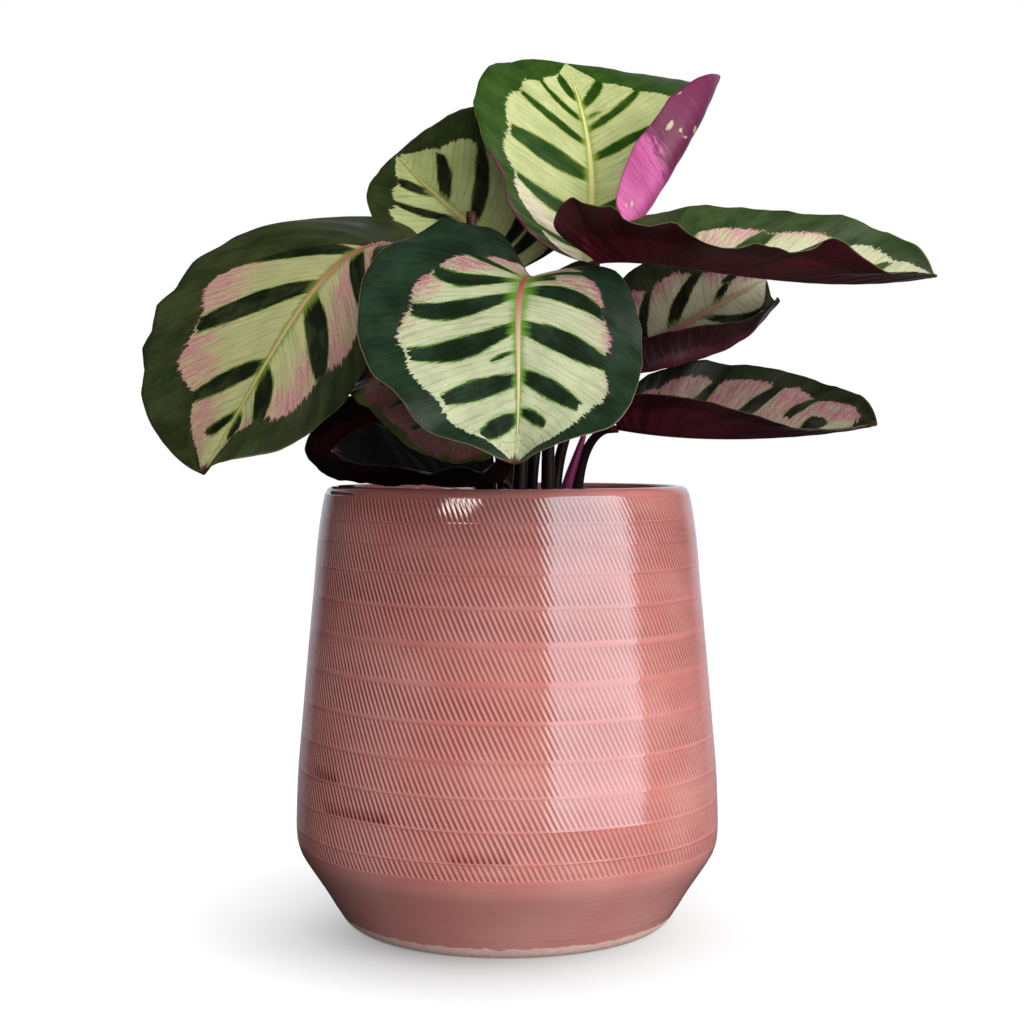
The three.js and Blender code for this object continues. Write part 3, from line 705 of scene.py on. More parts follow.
# Leaves: the blade's surface

def halves(leaf, t):
    """Each half of a leaf, with the points that lie in it."""
    return (leaf["left"], t < 0), (leaf["right"], t >= 0)


def by_half(leaf, t, key):
    """A value of the half that each point lies in."""
    return np.where(t < 0, leaf["left"][key], leaf["right"][key])


def listed(half, key, u):
    """What a half's list of places and millimetres says at u, or 0 where it has no such list."""
    places, amounts = zip(*half.get(key, [(0, 0)]))
    return np.interp(100 * u, places, amounts)


def blade_points(leaf, u, t):
    """The blade's points and normals at u (0 base, 1 tip) and t (-1 left edge, 0 midrib, 1 right).

    A line of constant u is a side vein. rib is the midrib's Bezier curve and face the way the upper
    side looks at its two ends. A half has its width, the reach of its lobe behind the base, its fold
    up and its curl towards the edge in degrees, the edge's waves, and a crease where it is folded.
    """
    rib = np.array(leaf["rib"], dtype=float)
    table = np.linspace(0, 1, 201)
    arc = arc_lengths(bezier(rib, table))
    length = arc[-1]
    across = np.abs(t)
    lobe = by_half(leaf, t, "lobe")
    swell = np.maximum(np.sin(np.pi * u), 0)
    edge_out = by_half(leaf, t, "half") * swell ** (0.72 + 0.26 * u)
    edge_out = edge_out + BASE_HALF_WIDTH * (1 - u) + TIP_HALF_WIDTH * u
    edge_out = edge_out + edge_reach(leaf, u, t) * smooth(swell, 0.1, 0.5)
    edge_back = lobe * swell * (1 - u) ** 2 / LOBE_PEAK
    base_back = 6 * np.maximum(lobe, 0) * BASE_HALF_WIDTH * (1 - u) ** 8
    edge_along = length * ((1 - np.cos(np.pi * u)) / 2 - edge_back) - base_back
    root = length * u ** leaf["slant"]
    dx = edge_along - root
    bend = VEIN_CURVE * smooth(u, 0, 0.35)
    inner = 2 * across * (1 - across)
    a = (1 - across) ** 2 * root + inner * (root + dx / 2 - bend * edge_out) + across ** 2 * edge_along
    b = inner * (edge_out / 2 + bend * dx) + across ** 2 * edge_out

    share = np.interp(np.clip(a, 0, length), arc, table)
    centre = bezier(rib, share)
    share = share[..., None]
    forward = unit((1 - share) ** 2 * (rib[1] - rib[0]) + 2 * share * (1 - share) * (rib[2] - rib[1])
                   + share ** 2 * (rib[3] - rib[2]))
    centre = centre + forward * np.minimum(a, 0)[..., None]
    s = np.clip(a / length, 0, 1)
    faces = unit(np.array(leaf["face"], dtype=float))
    up = faces[0] * (1 - s[..., None]) + faces[1] * s[..., None]
    up = unit(up - (up * forward).sum(-1, keepdims=True) * forward)
    side = np.cross(forward, up) * np.where(t < 0, -1, 1)[..., None]

    x, z, last, wave = np.zeros((4, *b.shape))
    for half, chosen in halves(leaf, t):
        crease = half.get("crease")
        for k in range(BEND_STEPS):
            out = b * (k + 0.5) / BEND_STEPS
            q = out / half["half"]
            angle = parabola(half["fold"], s) * np.minimum(out / MIDRIB_ROUND, 1)
            angle = angle + parabola(half["curl"], s) * q
            if crease:
                into = (q - parabola(crease["at"], s)) / crease["soft"]
                angle = angle + parabola(crease["by"], s) * smooth(into, -0.5, 0.5)
            angle = np.radians(angle)
            x += np.where(chosen, np.cos(angle) * b / BEND_STEPS, 0)
            z += np.where(chosen, np.sin(angle) * b / BEND_STEPS, 0)
        last = np.where(chosen, angle, last)
        wave = np.where(chosen, across ** 2.2 * edge_wave(half["lift"], u), wave)
    wave = wave + fine_relief(leaf, u, t, length)
    x = x - wave * np.sin(last)
    z = z + wave * np.cos(last)
    points = centre + side * x[..., None] + up * z[..., None]
    normals = -side * np.sin(last)[..., None] + up * np.cos(last)[..., None]
    return points, normals, edge_out, length


def edge_reach(leaf, u, t):
    """How far the edge reaches out: shallow hollows that meet in blunt points, and single bulges."""
    reach = np.zeros_like(u)
    for number, (half, chosen) in enumerate(halves(leaf, t)):
        depth, count = half.get("scallops", PLAIN_SCALLOPS)
        spacing = u * count + 0.35 * wavy_noise(u * 2, leaf["seed"] + 4 + number)
        out = depth * (0.5 - np.abs(np.sin(np.pi * spacing))) + listed(half, "bulges", u)
        reach = np.where(chosen, out, reach)
    return reach


def edge_wave(lift, u):
    """A smooth curve through the lift values, level at both ends."""
    values = np.array([0, 0, *lift, 0, 0, 0], dtype=float)
    x = np.clip(u, 0, 1) * (len(lift) + 1)
    i = np.minimum(x.astype(int), len(lift))
    f = x - i
    p0, p1, p2, p3 = (values[i + k] for k in range(4))
    square = 2 * p0 - 5 * p1 + 4 * p2 - p3
    cube = -p0 + 3 * p1 - 3 * p2 + p3
    return 0.5 * (2 * p1 + (p2 - p0) * f + square * f ** 2 + cube * f ** 3)


def fine_relief(leaf, u, t, length):
    """What the model leaves out: a ruffled edge, and swellings between the side veins."""
    across = np.abs(t)
    ruffle = np.where(t < 0, wavy_noise(u * 7, leaf["seed"] + 1), wavy_noise(u * 7, leaf["seed"]))
    swellings = np.sin(2 * np.pi * u * length / SWELLING_SPACING) * np.sin(np.pi * across)
    relief = RUFFLE_HEIGHT * across ** 4 * ruffle + SWELLING_HEIGHT * swellings
    relief = relief * smooth(u, 0.02, 0.2) * smooth(1 - u, 0.0, 0.1)
    for half, chosen in halves(leaf, t):
        relief = relief + np.where(chosen, listed(half, "ruffles", u) * across ** 4, 0)
    return relief


def leaf_marks(leaf, u, t, edge_out, length):
    """The values that the leaf's materials read, most of them distances in millimetres."""
    tenths = np.linspace(0, 1, 11)
    across = np.abs(t)
    marks = {name: np.zeros_like(u) for name in ("zone", "bar", "bar_end", "pink", "scar")}
    for spec, chosen in halves(leaf, t):
        limits = np.array(spec["zone"]) / 100
        reach = np.interp(u, tenths, limits)
        zone = (reach - across) * spec["half"]
        side = np.full_like(u, -9.0)
        end = np.full_like(u, -9.0)
        for first, last, low, middle, high, thick in np.array(spec["bars"]) / 100:
            s = (across - first) / (last - first)
            belly = 0.42 + 0.58 * np.sin(np.pi * np.clip(0.14 + 0.8 * s, 0, 1))
            this_side = (thick * belly - np.abs(u - parabola((low, middle, high), s))) * length
            this_end = (last - across) * spec["half"]
            if first > FREE_BAR:
                this_end = np.minimum(this_end, (across - first) * spec["half"])
            nearer = np.minimum(this_side, this_end) > np.minimum(side, end)
            side = np.where(nearer, this_side, side)
            end = np.where(nearer, this_end, end)
            if last > 0.72 * np.interp(high, tenths, limits):
                zone = zone - BAR_INLET * np.exp(-((u - high) / (thick + 0.004)) ** 2)
        zone = np.minimum(zone, (leaf["zone_end"] - u) * length)
        amount = np.interp(u, tenths[:len(spec["pink"])], spec["pink"])
        pink = smooth(across / np.maximum(reach, 0.05) - (1 - amount), -0.3, 0.3) * smooth(amount, 0, 0.1)
        for name, values in (("zone", zone), ("bar", side), ("bar_end", end), ("pink", pink)):
            marks[name] = np.where(chosen, values, marks[name])
    half = by_half(leaf, t, "half")
    for at, level, size in leaf.get("scars", []):
        away = np.hypot((t - at) * half, (u - level) * length) / size
        marks["scar"] = np.maximum(marks["scar"], np.exp(-away ** 2))
    return dict(marks, rib=across * half, edge=(1 - across) * edge_out, along=u)


def make_blade(name, leaf):
    """A blade with two faces, a keel under its midrib and a thin edge."""
    rows = np.linspace(0, 1, ROWS) ** 1.2
    columns = np.linspace(-1, 1, 2 * COLUMNS_PER_HALF + 1)
    columns = np.sign(columns) * np.abs(columns) ** 1.25
    u, t = np.meshgrid(rows, columns, indexing="ij")
    points, normals, edge_out, length = blade_points(leaf, u, t)
    across = np.abs(t)
    from_rib = across * edge_out
    thin = BLADE_THICKNESS / 2 * (0.4 + 0.6 * smooth(1 - across, 0, 0.04))
    rib_half = RIB_HALF_WIDTH * (1 - 0.65 * u)
    keel = KEEL_DEPTH * (1 - 0.75 * u) * np.exp(-(from_rib / rib_half) ** 2)
    groove = GROOVE_DEPTH * (1 - 0.5 * u) * np.exp(-((from_rib - 1.6 * rib_half) / rib_half) ** 2)
    upper = points + normals * (thin - groove)[..., None]
    lower = points - normals * (thin + keel)[..., None]

    count = u.size
    width = len(columns)
    faces = grid_faces(ROWS, width) + grid_faces(ROWS, width, first=count, flip=True)
    border = [*range(width - 1)]
    border += [i * width + width - 1 for i in range(ROWS - 1)]
    border += [(ROWS - 1) * width + j for j in range(width - 1, 0, -1)]
    border += [i * width for i in range(ROWS - 1, 0, -1)]
    faces += [(a, count + a, count + b, b) for a, b in zip(border, border[1:] + border[:1])]

    look = leaf["look"]
    both = np.concatenate([upper.reshape(-1, 3), lower.reshape(-1, 3)])
    materials = upper_material(look, leaf["dry_tip"]), under_material(look)
    piece = add_mesh("blade_" + name, both, faces, *materials)
    a_side = (ROWS - 1) * (width - 1)
    slots = np.zeros(len(faces), dtype=np.int32)
    slots[a_side:2 * a_side] = 1
    piece.data.polygons.foreach_set("material_index", slots)
    marks = leaf_marks(leaf, u, t, edge_out, length)
    add_values(piece, **{mark: np.tile(values.ravel(), 2) for mark, values in marks.items()})
    flat = np.stack([t * by_half(leaf, t, "half"), u * length], axis=-1).reshape(-1, 2)
    add_map(piece, np.tile(flat, (2, 1)))
    place(piece, "leaf", "leaf_" + name)


# Leaves: the materials

def vein_lines(n):
    """Fine side veins, as a value that is 1 on a vein and 0 between two."""
    along = n.add("SeparateXYZ", {"Vector": n.surface()}, "Y")
    drift = n.noise(1.0, 2, stretch=(0.03, 0.22))
    broken = n.step(n.noise(1.0, 2, stretch=(0.08, 0.5)), 0.35, 0.65, 0.4, 1.0)
    return n.step(n.math("SINE", along * VEIN_RATE + drift * 14.0), 0.6, 1.0) * broken


def upper_material(look, dry_tip):
    """The painted upper side: dark margin, pale zone, brush strokes, pink and the midrib."""
    tint = LOOKS[look]
    n = new_material("leaf_upper_" + look)
    swing = n.noise(1.0, 4, 0.7, (0.14, 1)) - 0.5
    spots = n.noise(1.5, 3, 0.6, (1, 1)) - 0.5
    fibres = n.noise(2.4, 3, 0.65, (0.05, 1))
    patches = n.noise(0.09, 5, 0.62, (0.7, 1))
    veins = vein_lines(n)
    rib = n.value("rib")
    along = n.value("along")
    edge = n.value("edge")

    def ragged(mark, coarse, fine):
        """A distance to a painted border, roughened by so many millimetres."""
        return n.value(mark) + (swing * coarse + spots * fine)

    in_zone = n.step(ragged("zone", 10.0, 2.6), -0.2, 0.2)
    bar_side = ragged("bar", 2.4, 1.4)
    bar_end = n.step(ragged("bar_end", 9.0, 2.0), -0.3, 0.4)
    in_bar = n.step(bar_side, -0.2, 0.3) * bar_end

    margin = n.mix(n.step(patches, 0.3, 0.75, 0.1, 0.8), tint["margin"], tint["margin_light"])
    # Near the base the margin darkens towards base, which only the cool look sets: painted shade.
    margin = n.mix(n.step(along, 0.0, 0.3, 0.75, 0.0), margin, tint.get("base", tint["margin"]))
    margin = n.mix(fibres * 0.35, margin, tint["bar"])
    margin = n.mix(veins * 0.2, margin, tint["margin_light"])
    pale = n.mix(n.step(fibres, 0.45, 0.8, 0.0, 0.2), tint["pale"], tint["fringe"])
    pale = n.mix(n.step(patches, 0.3, 0.7, 0.25, 0.0), pale, tint["margin_light"])
    blush = n.value("pink") * 0.85 + swing * 2.4 + spots * 1.6 + (patches - 0.5) * 1.6
    pale = n.mix(n.step(blush, 0.2, 1.35), pale, tint["pink"])
    pale = n.mix(veins * 0.28, pale, tint["margin_light"])
    reach = rib * n.step(along, 0.3, 0.8, FRINGE_NARROW.get(look, 1.0), 1.0) + swing * 7.0
    pale = n.mix(n.step(reach, 0.8, 3.6, 0.85, 0.0), pale, tint["fringe"])
    bar = n.mix(n.step(patches, 0.4, 0.7, 0.0, 0.5), tint["bar"], tint["margin_light"])
    bar = n.mix(n.step(reach, 1.0, 5.0, 0.95, 0.0), bar, tint["fringe"])
    painted = n.mix(in_bar, pale, bar)
    hem = n.step(n.math("ABSOLUTE", bar_side), 0.1, 0.8, 0.5, 0.0) * bar_end
    painted = n.mix(hem, painted, tint["fringe"])
    painted = n.mix(in_zone, margin, painted)

    rib_colour = n.mix(n.step(along, 0.35, 0.85), tint["rib"], tint["rib_tip"])
    rib_width = n.step(along, 0.0, 1.0, 1.5, 0.75)
    painted = n.mix(n.step(rib - rib_width, -0.35, 0.25, 1.0, 0.0), painted, rib_colour)
    painted = n.mix(n.step(edge, 0.05, 0.45, 0.6, 0.0), painted, tint["edge"])
    dust = n.noise(0.9, 4, 0.75, (1, 1))
    painted = n.mix(n.step(dust, 0.69, 0.76, 0.0, 0.4), painted, DUST)
    if look in ROLLED_EDGE:
        widest, last = ROLLED_EDGE[look]
        strip = edge - n.step(along, 0.0, last, widest, 0.0)
        painted = n.mix(n.step(strip, -0.3, 0.3, 1.0, 0.0), painted, ROLLED_STRIP)
    if dry_tip:
        start = 0.985 - 0.012 * dry_tip
        painted = n.mix(n.step(along + (patches - 0.5) * 0.06, start, start + 0.01), painted, DRY_TIP)
    n.set(
        Base_Color=painted,
        Roughness=n.step(patches, 0.3, 0.7, 0.36, 0.5),
        Normal=n.bump(fibres * 0.4 + veins * -0.5, 0.00025, 0.6),
        Specular_IOR_Level=0.28,
    )
    return n.owner


def under_material(look):
    """The underside, burgundy or magenta, in which the upper side's pattern shows through as a bright
    zone that is partly the underside's own colour and partly painted light shining through the blade.
    """
    tint = LOOKS[look]
    reach = UNDER_REACH.get(look, PLAIN_REACH)
    n = new_material("leaf_under_" + look)
    fibres = n.noise(1.6, 3, 0.6, (0.05, 1))
    patches = n.noise(0.1, 3, 0.6, (0.6, 1))
    swing = n.noise(0.9, 3, 0.65, (0.1, 1)) - 0.5
    veins = vein_lines(n)
    # The bright zone where the pattern shows through is partly painted light shining through the blade.
    border = n.value("zone") + swing * 12.0 + UNDER_SPREAD.get(look, 0.0)
    through = n.step(border, -1.2, 1.2) * n.step(n.value("bar"), -0.8, 0.8, 1.0, 0.6)
    end = n.value("along") + swing * 0.12
    through = through * n.step(end, reach - 0.015, reach + 0.015, 1.0, 0.0)
    skin = n.mix(through, tint["under"], tint["under_zone"])
    skin = n.mix(n.step(fibres, 0.35, 0.75, 0.0, 0.3), skin, tint["under"])
    skin = n.mix(veins * 0.2, skin, tint["under_vein"])
    skin = n.mix(n.step(n.value("rib"), 0.9, 1.9, 0.5, 0.0), skin, tint["rib"])
    skin = n.mix(n.step(n.value("edge"), 0.1, 0.5, 0.45, 0.0), skin, tint["edge"])
    scar = n.value("scar") + (patches - 0.5) * 1.2
    n.set(
        Base_Color=n.mix(n.step(scar, 0.55, 0.8, 0.0, 0.85), skin, SCAR),
        Roughness=n.step(patches, 0.3, 0.7, 0.34, 0.46),
        Normal=n.bump(fibres + veins, 0.00016, 0.6),
        Specular_IOR_Level=0.3,
    )
    return n.owner


# Stalks

def rooted_path(start, first, second, end):
    """A stalk's path, which begins below the soil's top, and how far along it each point is."""
    s = np.linspace(0, 1, STALK_STEPS)
    path = bezier([start, first, second, end], s)
    return np.concatenate([[start - [0, 0, STALK_BELOW]], path]), np.concatenate([[0], s])


def plain_path(crown, top):
    """The path of a stalk without a blade: upright at first, then straight."""
    start = np.array([*crown, SOIL_TOP + STALK_ABOVE])
    way = np.array(top, dtype=float) - start
    return rooted_path(start, start + [0, 0, np.linalg.norm(way) * 0.3], start + way * 0.7, start + way)


def tube(name, path, radii, material, squash=np.ones_like):
    """A round closed tube along a path, with its distance along and around it as its map."""
    forward = unit(np.gradient(path, axis=0))
    reference = unit(np.cross(forward, np.array([0.0, 1.0, 0.05])))
    other = np.cross(forward, reference)
    turn = np.linspace(0, 2 * np.pi, STALK_SIDES, endpoint=False)
    radii = radii[:, None] * squash(turn)[None, :]
    ring = reference[:, None] * np.cos(turn)[:, None] + other[:, None] * np.sin(turn)[:, None]
    points = (path[:, None] + ring * radii[..., None]).reshape(-1, 3)
    piece = add_mesh(name, points, closed_grid(len(path), STALK_SIDES), material)
    add_values(piece, along=np.repeat(np.linspace(0, 1, len(path)), STALK_SIDES))
    around = np.tile(turn / (2 * np.pi) * STALK_MAP, len(path))
    add_map(piece, np.stack([around, np.repeat(arc_lengths(path), STALK_SIDES)], axis=-1))
    return piece


def stalk_material(name, tint):
    """Smooth dark skin with fine lengthwise lines, and a blushed joint under the blade."""
    n = new_material(name)
    lines = n.noise(1.3, 3, 0.6, (1, 0.05))
    skin = n.mix(n.step(lines, 0.35, 0.7, 0.0, 0.75), tint["skin"], tint["blush"])
    n.set(
        Base_Color=n.mix(n.step(n.value("along"), 0.86, 0.97, 0.0, 0.7), skin, tint["joint"]),
        Roughness=n.step(lines, 0.3, 0.7, 0.36, 0.5),
        Normal=n.bump(lines, 0.0003, 0.6),
        Specular_IOR_Level=0.3,
    )
    return n.owner


def make_leaf_stalk(name, leaf, material):
    """The stalk rises from the crown and meets the blade's base from below, with a swollen joint."""
    base, following = (np.array(p, dtype=float) for p in leaf["rib"][:2])
    forward = unit(following - base)
    up = unit(np.array(leaf["face"][0], dtype=float))
    up = unit(up - up.dot(forward) * forward)
    end = base - forward * STALK_GAP - up * STALK_DROP
    start = np.array([*leaf["crown"], SOIL_TOP + STALK_ABOVE])
    reach = np.linalg.norm(end - start)
    path, s = rooted_path(start, start + [0, 0, reach * 0.4], end - forward * min(reach * 0.35, 26), end)
    radii = leaf["stalk"] + (STALK_TOP_RADIUS - leaf["stalk"]) * s
    radii = radii * (1 + 0.12 * np.exp(-s * 9))
    radii = radii + JOINT_SWELLING * np.exp(-((s - 0.93) / 0.05) ** 2)
    place(tube("petiole_" + name, path, radii, material), "stalk", "stalk_" + name)


def make_cut_stalk(material):
    """An old stalk that has lost its leaf, ending in a dry ring."""
    path, s = plain_path(*CUT_STALK)
    radii = CUT_RADIUS - 0.2 * s + DRY_RING * np.exp(-((s - 0.985) / 0.012) ** 2)
    place(tube("petiole_cut", path, radii, material), "stalk", "stalk_cut")


def make_sheath():
    """A young leaf still rolled in its magenta sheath, with the free edge along it."""
    path, s = plain_path(*SHEATH)
    radii = SHEATH_RADIUS - 1.9 * s ** 1.6
    material = stalk_material("rolled_sheath", SHEATH_COLOURS)

    def rolled(turn):
        return 1 + 0.16 * (turn / (2 * np.pi) - 0.5)

    place(tube("rolled_sheath", path, radii, material, rolled), "sheath", "sheath")


# Pot

def smooth_radius(height):
    """The pot's outside radius at a height, as a smooth curve through its profile's points."""
    r, z = (np.array(v, dtype=float) for v in zip(*POT_OUTSIDE))
    slope = np.gradient(r, z)
    k = np.clip(np.searchsorted(z, height, side="right") - 1, 0, len(z) - 2)
    step = z[k + 1] - z[k]
    f = (height - z[k]) / step
    return ((2 * f ** 3 - 3 * f ** 2 + 1) * r[k] + (f ** 3 - 2 * f ** 2 + f) * step * slope[k]
            + (3 * f ** 2 - 2 * f ** 3) * r[k + 1] + (f ** 3 - f ** 2) * step * slope[k + 1])


def outside_rows():
    """The heights of the outside's rows, and how deep the nicks are in each."""
    rows = [(height, 0.0) for height in CONE_ROWS]
    lines = list(zip(BAND_LINES, BAND_GAPS))
    for (low, gap), (high, next_gap) in zip(lines, lines[1:]):
        bottom = low + gap / 2
        top = high - next_gap / 2
        rows.append((low, 0.0))
        rows += [(bottom + (top - bottom) * share, depth) for share, depth in NICK_PROFILE]
    return [*rows, (BAND_LINES[-1], 0.0)]


def pooled(turn, height):
    """How much glaze has pooled at a place, from 0 to 1."""
    total = np.zeros_like(turn)
    degrees = np.degrees(np.arctan2(np.sin(turn), np.cos(turn)))
    for level, first, last in POOLS:
        inside = smooth(degrees, first, first + 3) * smooth(-degrees, -last, 3 - last)
        total += inside * np.exp(-((height - level) / 1.0) ** 2)
    return total


def pot_ring(radius, height, nick=0.0):
    """A ring of the pot's points: radius, height, angle, and the glaze's nick, ridge and pool."""
    count = NICKS_ROUND * len(NICK_ACROSS)
    nick_shape = np.tile(NICK_ACROSS, NICKS_ROUND)
    lean = math.tan(math.radians(NICK_LEAN)) / MEAN_RADIUS
    down = BAND_LINES[-1] - min(max(height, BAND_LINES[0]), BAND_LINES[-1])
    turn = np.pi + 2 * np.pi * np.arange(count) / count + lean * down
    uneven = 0.85 + 0.3 * ring_noise(turn + height * 0.07, SEED + 3)
    depth = nick * nick_shape * np.clip(uneven, 0.35, 1.2)
    wave = BAND_WAVE * ring_noise(turn + height * 0.01, SEED + 5, (1, 3, 4, 7)) * (down > 0)
    risen = height + wave * smooth(height, 30, 40)
    ridge = nick * (1 - nick_shape)
    return radius - NICK_DEPTH * depth, risen, turn, depth, ridge, pooled(turn, height)


def make_pot():
    """The whole pot: the nicked outside, the rim, the inside wall and the floor."""
    rings = [pot_ring(*point) for point in POT_BASE]
    rings += [pot_ring(smooth_radius(height), height, nick) for height, nick in outside_rows()]
    rings += [pot_ring(*point) for point in POT_INSIDE]
    radii, heights, turns, nicks, ridges, pools = np.array(rings).transpose(1, 0, 2)
    points = np.stack([radii * np.sin(turns), -radii * np.cos(turns), heights], axis=-1)
    piece = add_mesh("cover_pot", points.reshape(-1, 3), closed_grid(*radii.shape), pot_material())
    add_values(piece, nick=nicks, ridge=ridges, pool=pools, height=heights)
    add_map(piece, np.stack([turns * MAP_RADIUS, heights], axis=-1).reshape(-1, 2))
    place(piece, "glaze", "pot")


def pot_material():
    """Dusty pink glaze and bare clay at the foot. The glaze is darker where it pools in the nicks, which
    also have painted shade, with painted light on the ridges and the lower cone and painted shade
    towards the top.
    """
    n = new_material("pink_glaze")
    cloud = n.noise(22, 3, 0.55)
    rings = n.noise(0.5, 4, 0.65, (0.01, 1))
    height = n.value("height")
    nick = n.value("nick")
    glaze = n.mix(n.step(cloud, 0.35, 0.7, 0.0, 0.45), GLAZE, GLAZE_PALE)
    glaze = n.mix(n.step(rings, 0.42, 0.7, 0.0, 0.1), glaze, GLAZE_DEEP)
    # Darker towards the top: partly painted shade of the leaves above the rim, partly a deeper glaze.
    glaze = n.mix(n.step(height, 90, 200, 0.03, 0.17), glaze, GLAZE_DEEP)
    # Paler on the ridges between the nicks: painted light. Darker in the nicks, more so higher up: partly
    # pooled glaze, partly painted shade in the grooves.
    glaze = n.mix(n.step(n.value("ridge"), 0.4, 0.9, 0.0, 0.5), glaze, GLAZE_PALE)
    glaze = n.mix(n.step(nick, 0.3, 0.85) * n.step(height, 60, 190, 0.35, 0.58), glaze, GLAZE_NICK)
    glaze = n.mix(n.value("pool") * n.step(nick, 0.1, 0.7, 0.2, 1.0), glaze, GLAZE_POOL)
    # Paler on the lower cone, which faces the floor: painted bounce light from the floor.
    cone = n.step(height, 32, 38, 1.0, 0.0)
    glaze = n.mix(cone * 0.34, glaze, GLAZE_PALE)
    foot = height + (n.noise(180, 4) - 0.5) * GLAZE_RAGGED
    bare = n.step(foot, GLAZE_LINE - 0.2, GLAZE_LINE + 0.2, 1.0, 0.0)
    clay = n.mix(n.step(n.noise(420, 2, 0.6), 0.4, 0.65, 0.0, 0.4), BARE_CLAY, CLAY_GRAIN)
    relief = rings * n.step(cone, 0.0, 1.0, 0.1, 0.25) - nick * 0.8
    n.set(
        Base_Color=n.mix(bare, glaze, clay),
        Roughness=n.step(cone, 0.0, 1.0, 0.42, 0.36) + bare * 0.4,
        Normal=n.bump(relief, 0.0009, 0.8),
        Specular_IOR_Level=0.06,
        Coat_Weight=(1.0 - bare) * n.step(height, 120, 200, 0.64, 1.0),
        Coat_Roughness=0.03,
        Coat_IOR=1.5,
        Coat_Normal=n.bump(cloud - nick * 0.03, 0.0004, 0.4),
    )
    return n.owner


# Soil

def make_soil():
    """Dark potting soil with crumbs and bits of bark, just below the rim."""
    rng = np.random.default_rng(SEED)
    r = np.linspace(0.3, SOIL_RADIUS - SOIL_GAP, SOIL_RINGS)[:, None] * np.ones(SOIL_SPOKES)
    turn = np.linspace(0, 2 * np.pi, SOIL_SPOKES, endpoint=False) * np.ones((SOIL_RINGS, 1))
    x = r * np.cos(turn)
    y = r * np.sin(turn)
    bumps = sum(
        np.sin(x * f * math.cos(a) + y * f * math.sin(a) + p) * (0.35 / f) ** 0.9
        for f, a, p in zip(rng.uniform(0.1, 1.6, 46), rng.uniform(0, 6.3, 46), rng.uniform(0, 6.3, 46))
    )
    z = SOIL_TOP - 1.8 + 0.3 * np.clip(bumps, -4, 4) - 1.5 * (r / SOIL_RADIUS) ** 4
    wall = np.stack([x[-1] * 1.02, y[-1] * 1.02, z[-1] - SOIL_DEPTH], axis=-1)
    points = [np.stack([x, y, z], axis=-1).reshape(-1, 3), wall]
    faces = closed_grid(SOIL_RINGS + 1, SOIL_SPOKES)
    total = (SOIL_RINGS + 1) * SOIL_SPOKES
    crumb, crumb_faces = make_crumb()
    for _ in range(CRUMBS):
        at = rng.uniform(0, 1) ** 0.5 * (SOIL_RADIUS - 5)
        way = rng.uniform(0, 2 * np.pi)
        size = rng.uniform(*CRUMB_SIZES) * np.array([1, rng.uniform(0.5, 1), rng.uniform(0.35, 0.7)])
        shape = crumb * size * rng.uniform(0.8, 1.2, (len(crumb), 1))
        spin = rng.uniform(0, np.pi)
        c, s = math.cos(spin), math.sin(spin)
        shape = shape @ np.array([[c, -s, 0], [s, c, 0], [0, 0, 1]])
        points.append(shape + [at * math.cos(way), at * math.sin(way), SOIL_TOP - 1.5])
        faces += [tuple(total + i for i in face) for face in crumb_faces]
        total += len(crumb)
    piece = add_mesh("potting_soil", np.concatenate(points), faces, soil_material())
    place(piece, "soil", "soil")


def make_crumb():
    """The points and faces of a small rounded lump."""
    lump = bmesh.new()
    bmesh.ops.create_icosphere(lump, subdivisions=2, radius=1)
    lump.verts.index_update()
    points = np.array([point.co[:] for point in lump.verts])
    faces = [[point.index for point in face.verts] for face in lump.faces]
    lump.free()
    return points, faces


def soil_material():
    """Dark earth with paler bits of bark."""
    n = new_material("potting_soil")
    fine = n.noise(900, 4, 0.7)
    earth = n.mix(n.step(fine, 0.35, 0.7), SOIL_DARK, SOIL_BROWN)
    earth = n.mix(n.step(n.noise(160, 3, 0.6), 0.6, 0.7, 0.0, 0.5), earth, BARK)
    n.set(Base_Color=earth, Roughness=0.95, Normal=n.bump(fine, 0.0012, 0.9))
    return n.owner


# Studio

def make_floor():
    """A plain pale floor, larger than any view. It glows, but less where the object shades it."""
    corners = [(x * FLOOR_SIZE, y * FLOOR_SIZE, 0) for x, y in ((-1, -1), (1, -1), (1, 1), (-1, 1))]
    n = new_material("pale_floor")
    shade = n.add("AmbientOcclusion", {"Distance": FLOOR_SHADE_REACH}, "AO", samples=12)
    at = n.add("NewGeometry", (), "Position")
    amount = n.step(n.add("SeparateXYZ", {"Vector": at}, "X"), -0.05, 0.12, 0.95, 0.4)
    amount = amount * n.step(n.add("SeparateXYZ", {"Vector": at}, "Y"), -0.07, 0.03, 1.0, 0.45)
    n.set(
        Base_Color=n.mix(n.noise(30, 2), (0.26, 0.26, 0.26, 1), (0.28, 0.28, 0.28, 1)),
        Roughness=0.9,
        Specular_IOR_Level=0.0,
        Emission_Color=(1, 1, 1, 1),
        Emission_Strength=(1.0 - (1.0 - shade) * amount) * FLOOR_GLOW,
    )
    piece = add_mesh("floor", corners, [(0, 1, 2, 3)], n.owner)
    piece.visible_glossy = False
    piece.visible_diffuse = False


def make_camera():
    """The photo's camera, straight in front and a little above the rim."""
    data = bpy.data.cameras.new("camera")
    data.sensor_width = SENSOR
    data.lens = FOCAL_PIXELS / PHOTO_PIXELS * SENSOR
    camera = add_to_scene("camera", data)
    camera.location = CAMERA_AT
    camera.rotation_euler = (math.radians(90 - CAMERA_PITCH), 0, 0)
    bpy.context.scene.camera = camera


def add_light(name, kind, lit, **settings):
    """A light that reaches only the pieces of one collection."""
    data = bpy.data.lights.new(name, kind)
    for key, value in settings.items():
        setattr(data, key, value)
    light = add_to_scene(name, data)
    light.light_linking.receiver_collection = lit
    return light


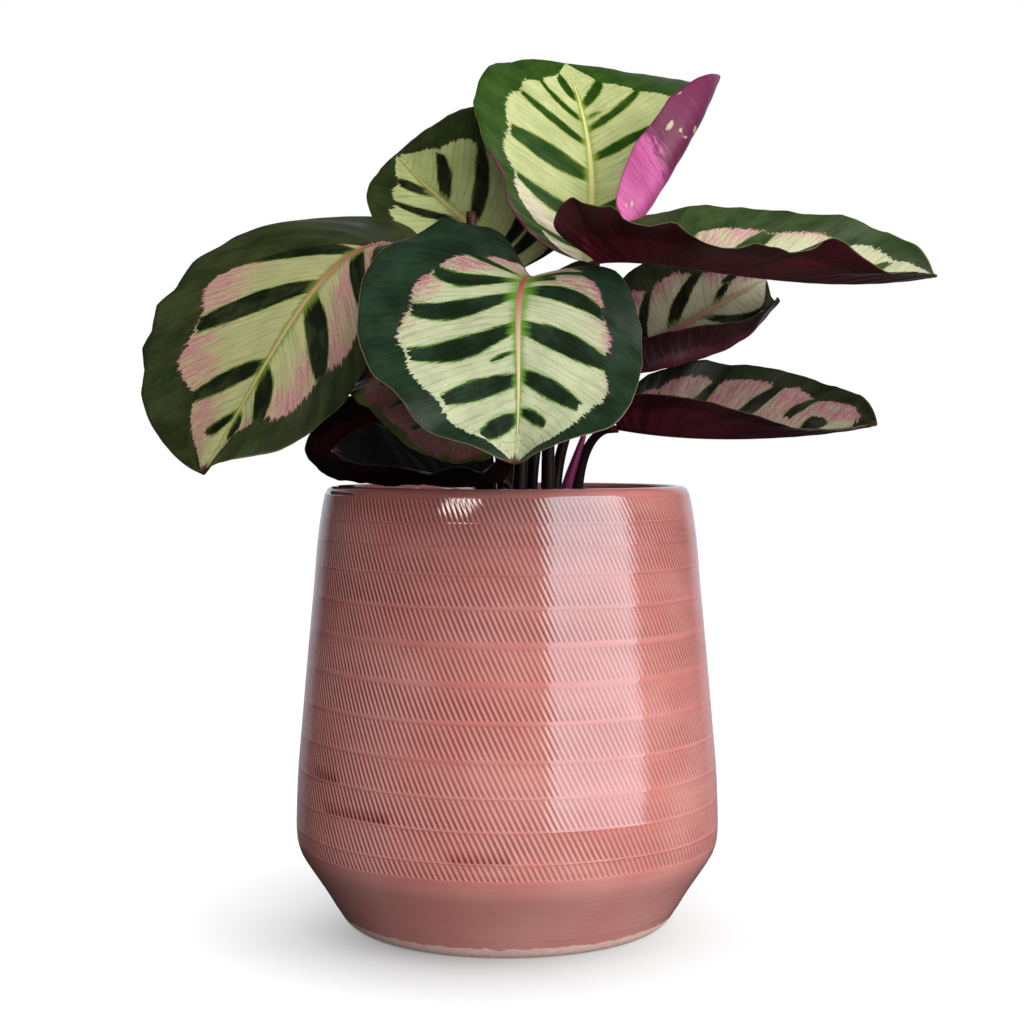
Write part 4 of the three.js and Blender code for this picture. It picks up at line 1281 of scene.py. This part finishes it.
def add_panel(name, lit, side, height, width, tall, power, tint):
    """A light panel that only the gloss shows, at an angle round from the front."""
    panel = add_light(name, "AREA", lit, shape="RECTANGLE", size=width, size_y=tall)
    panel.data.energy = power
    panel.data.color = tint
    turn = math.radians(side)
    panel.location = (PANEL_AWAY * math.sin(turn), -PANEL_AWAY * math.cos(turn), height)
    panel.rotation_euler = (math.radians(90), 0, turn)
    panel.visible_diffuse = False


def collection_of(name, pieces):
    """The pieces that a light reaches."""
    lit = bpy.data.collections.new(name)
    for piece in pieces:
        lit.objects.link(piece)
    return lit


def make_lights():
    """A broad soft sun from the front right, which leaves out the floor, and panels for the gloss."""
    pieces = [p for p in bpy.context.scene.objects if p.type == "MESH" and p.name != "floor"]
    glazed = collection_of("lit_by_softbox", [p for p in pieces if p.name == "cover_pot"])
    leafy = collection_of("lit_by_sheen", [p for p in pieces if p.name != "cover_pot"])
    everything = collection_of("lit_by_sun", pieces)
    sun = add_light("sun", "SUN", everything, energy=SUN_STRENGTH, angle=math.radians(SUN_SPREAD))
    sun.rotation_euler = (math.radians(90 - SUN_HEIGHT), 0, math.radians(SUN_SIDE))
    sun.visible_glossy = False
    add_panel("softbox", glazed, *SOFTBOX)
    add_panel("window", glazed, *WINDOW)
    add_panel("sheen", leafy, *SHEEN)


def make_surround():
    """A world that is white to the camera, soft light to the object, and bright behind in the gloss."""
    world = bpy.data.worlds.new("surround")
    bpy.context.scene.world = world
    bpy.context.scene.view_settings.view_transform = "Standard"
    n = Nodes(world)
    way = n.add("TexCoord", (), "Generated")
    towards = n.add("VectorMath", {0: way, 1: SOFT_FROM}, "Value", operation="DOT_PRODUCT")
    back = n.add("SeparateXYZ", {"Vector": way}, "Y")
    high = n.add("SeparateXYZ", {"Vector": way}, "Z")
    glossy = n.add("LightPath", (), "Is Glossy Ray")
    seen = n.add("LightPath", (), "Is Camera Ray")
    bright = n.step(back, 0.74, 0.97, *EDGE_GLOSS)
    behind = n.choose(n.step(back, 0.745, 0.76), GLOSS_LIGHT, bright)
    gloss = n.choose(n.step(high, -0.3, -0.05), GLOSS_LIGHT, behind)
    light = n.choose(glossy, n.step(towards, -0.15, 1.0, *SOFT_LIGHT), gloss)
    n.set(Strength=n.choose(seen, light, 1.0), Color=n.mix(glossy, (1, 1, 1, 1), GLOSS_TINT))


make_camera()
make_surround()
make_floor()
make_pot()
make_soil()
stalk_skin = stalk_material("stalk_skin", STALK_COLOURS)
for number, (name, leaf) in enumerate(LEAVES.items()):
    leaf["seed"] = SEED + 10 * number
    make_blade(name, leaf)
    make_leaf_stalk(name, leaf, stalk_skin)
make_cut_stalk(stalk_skin)
make_sheath()
make_lights()
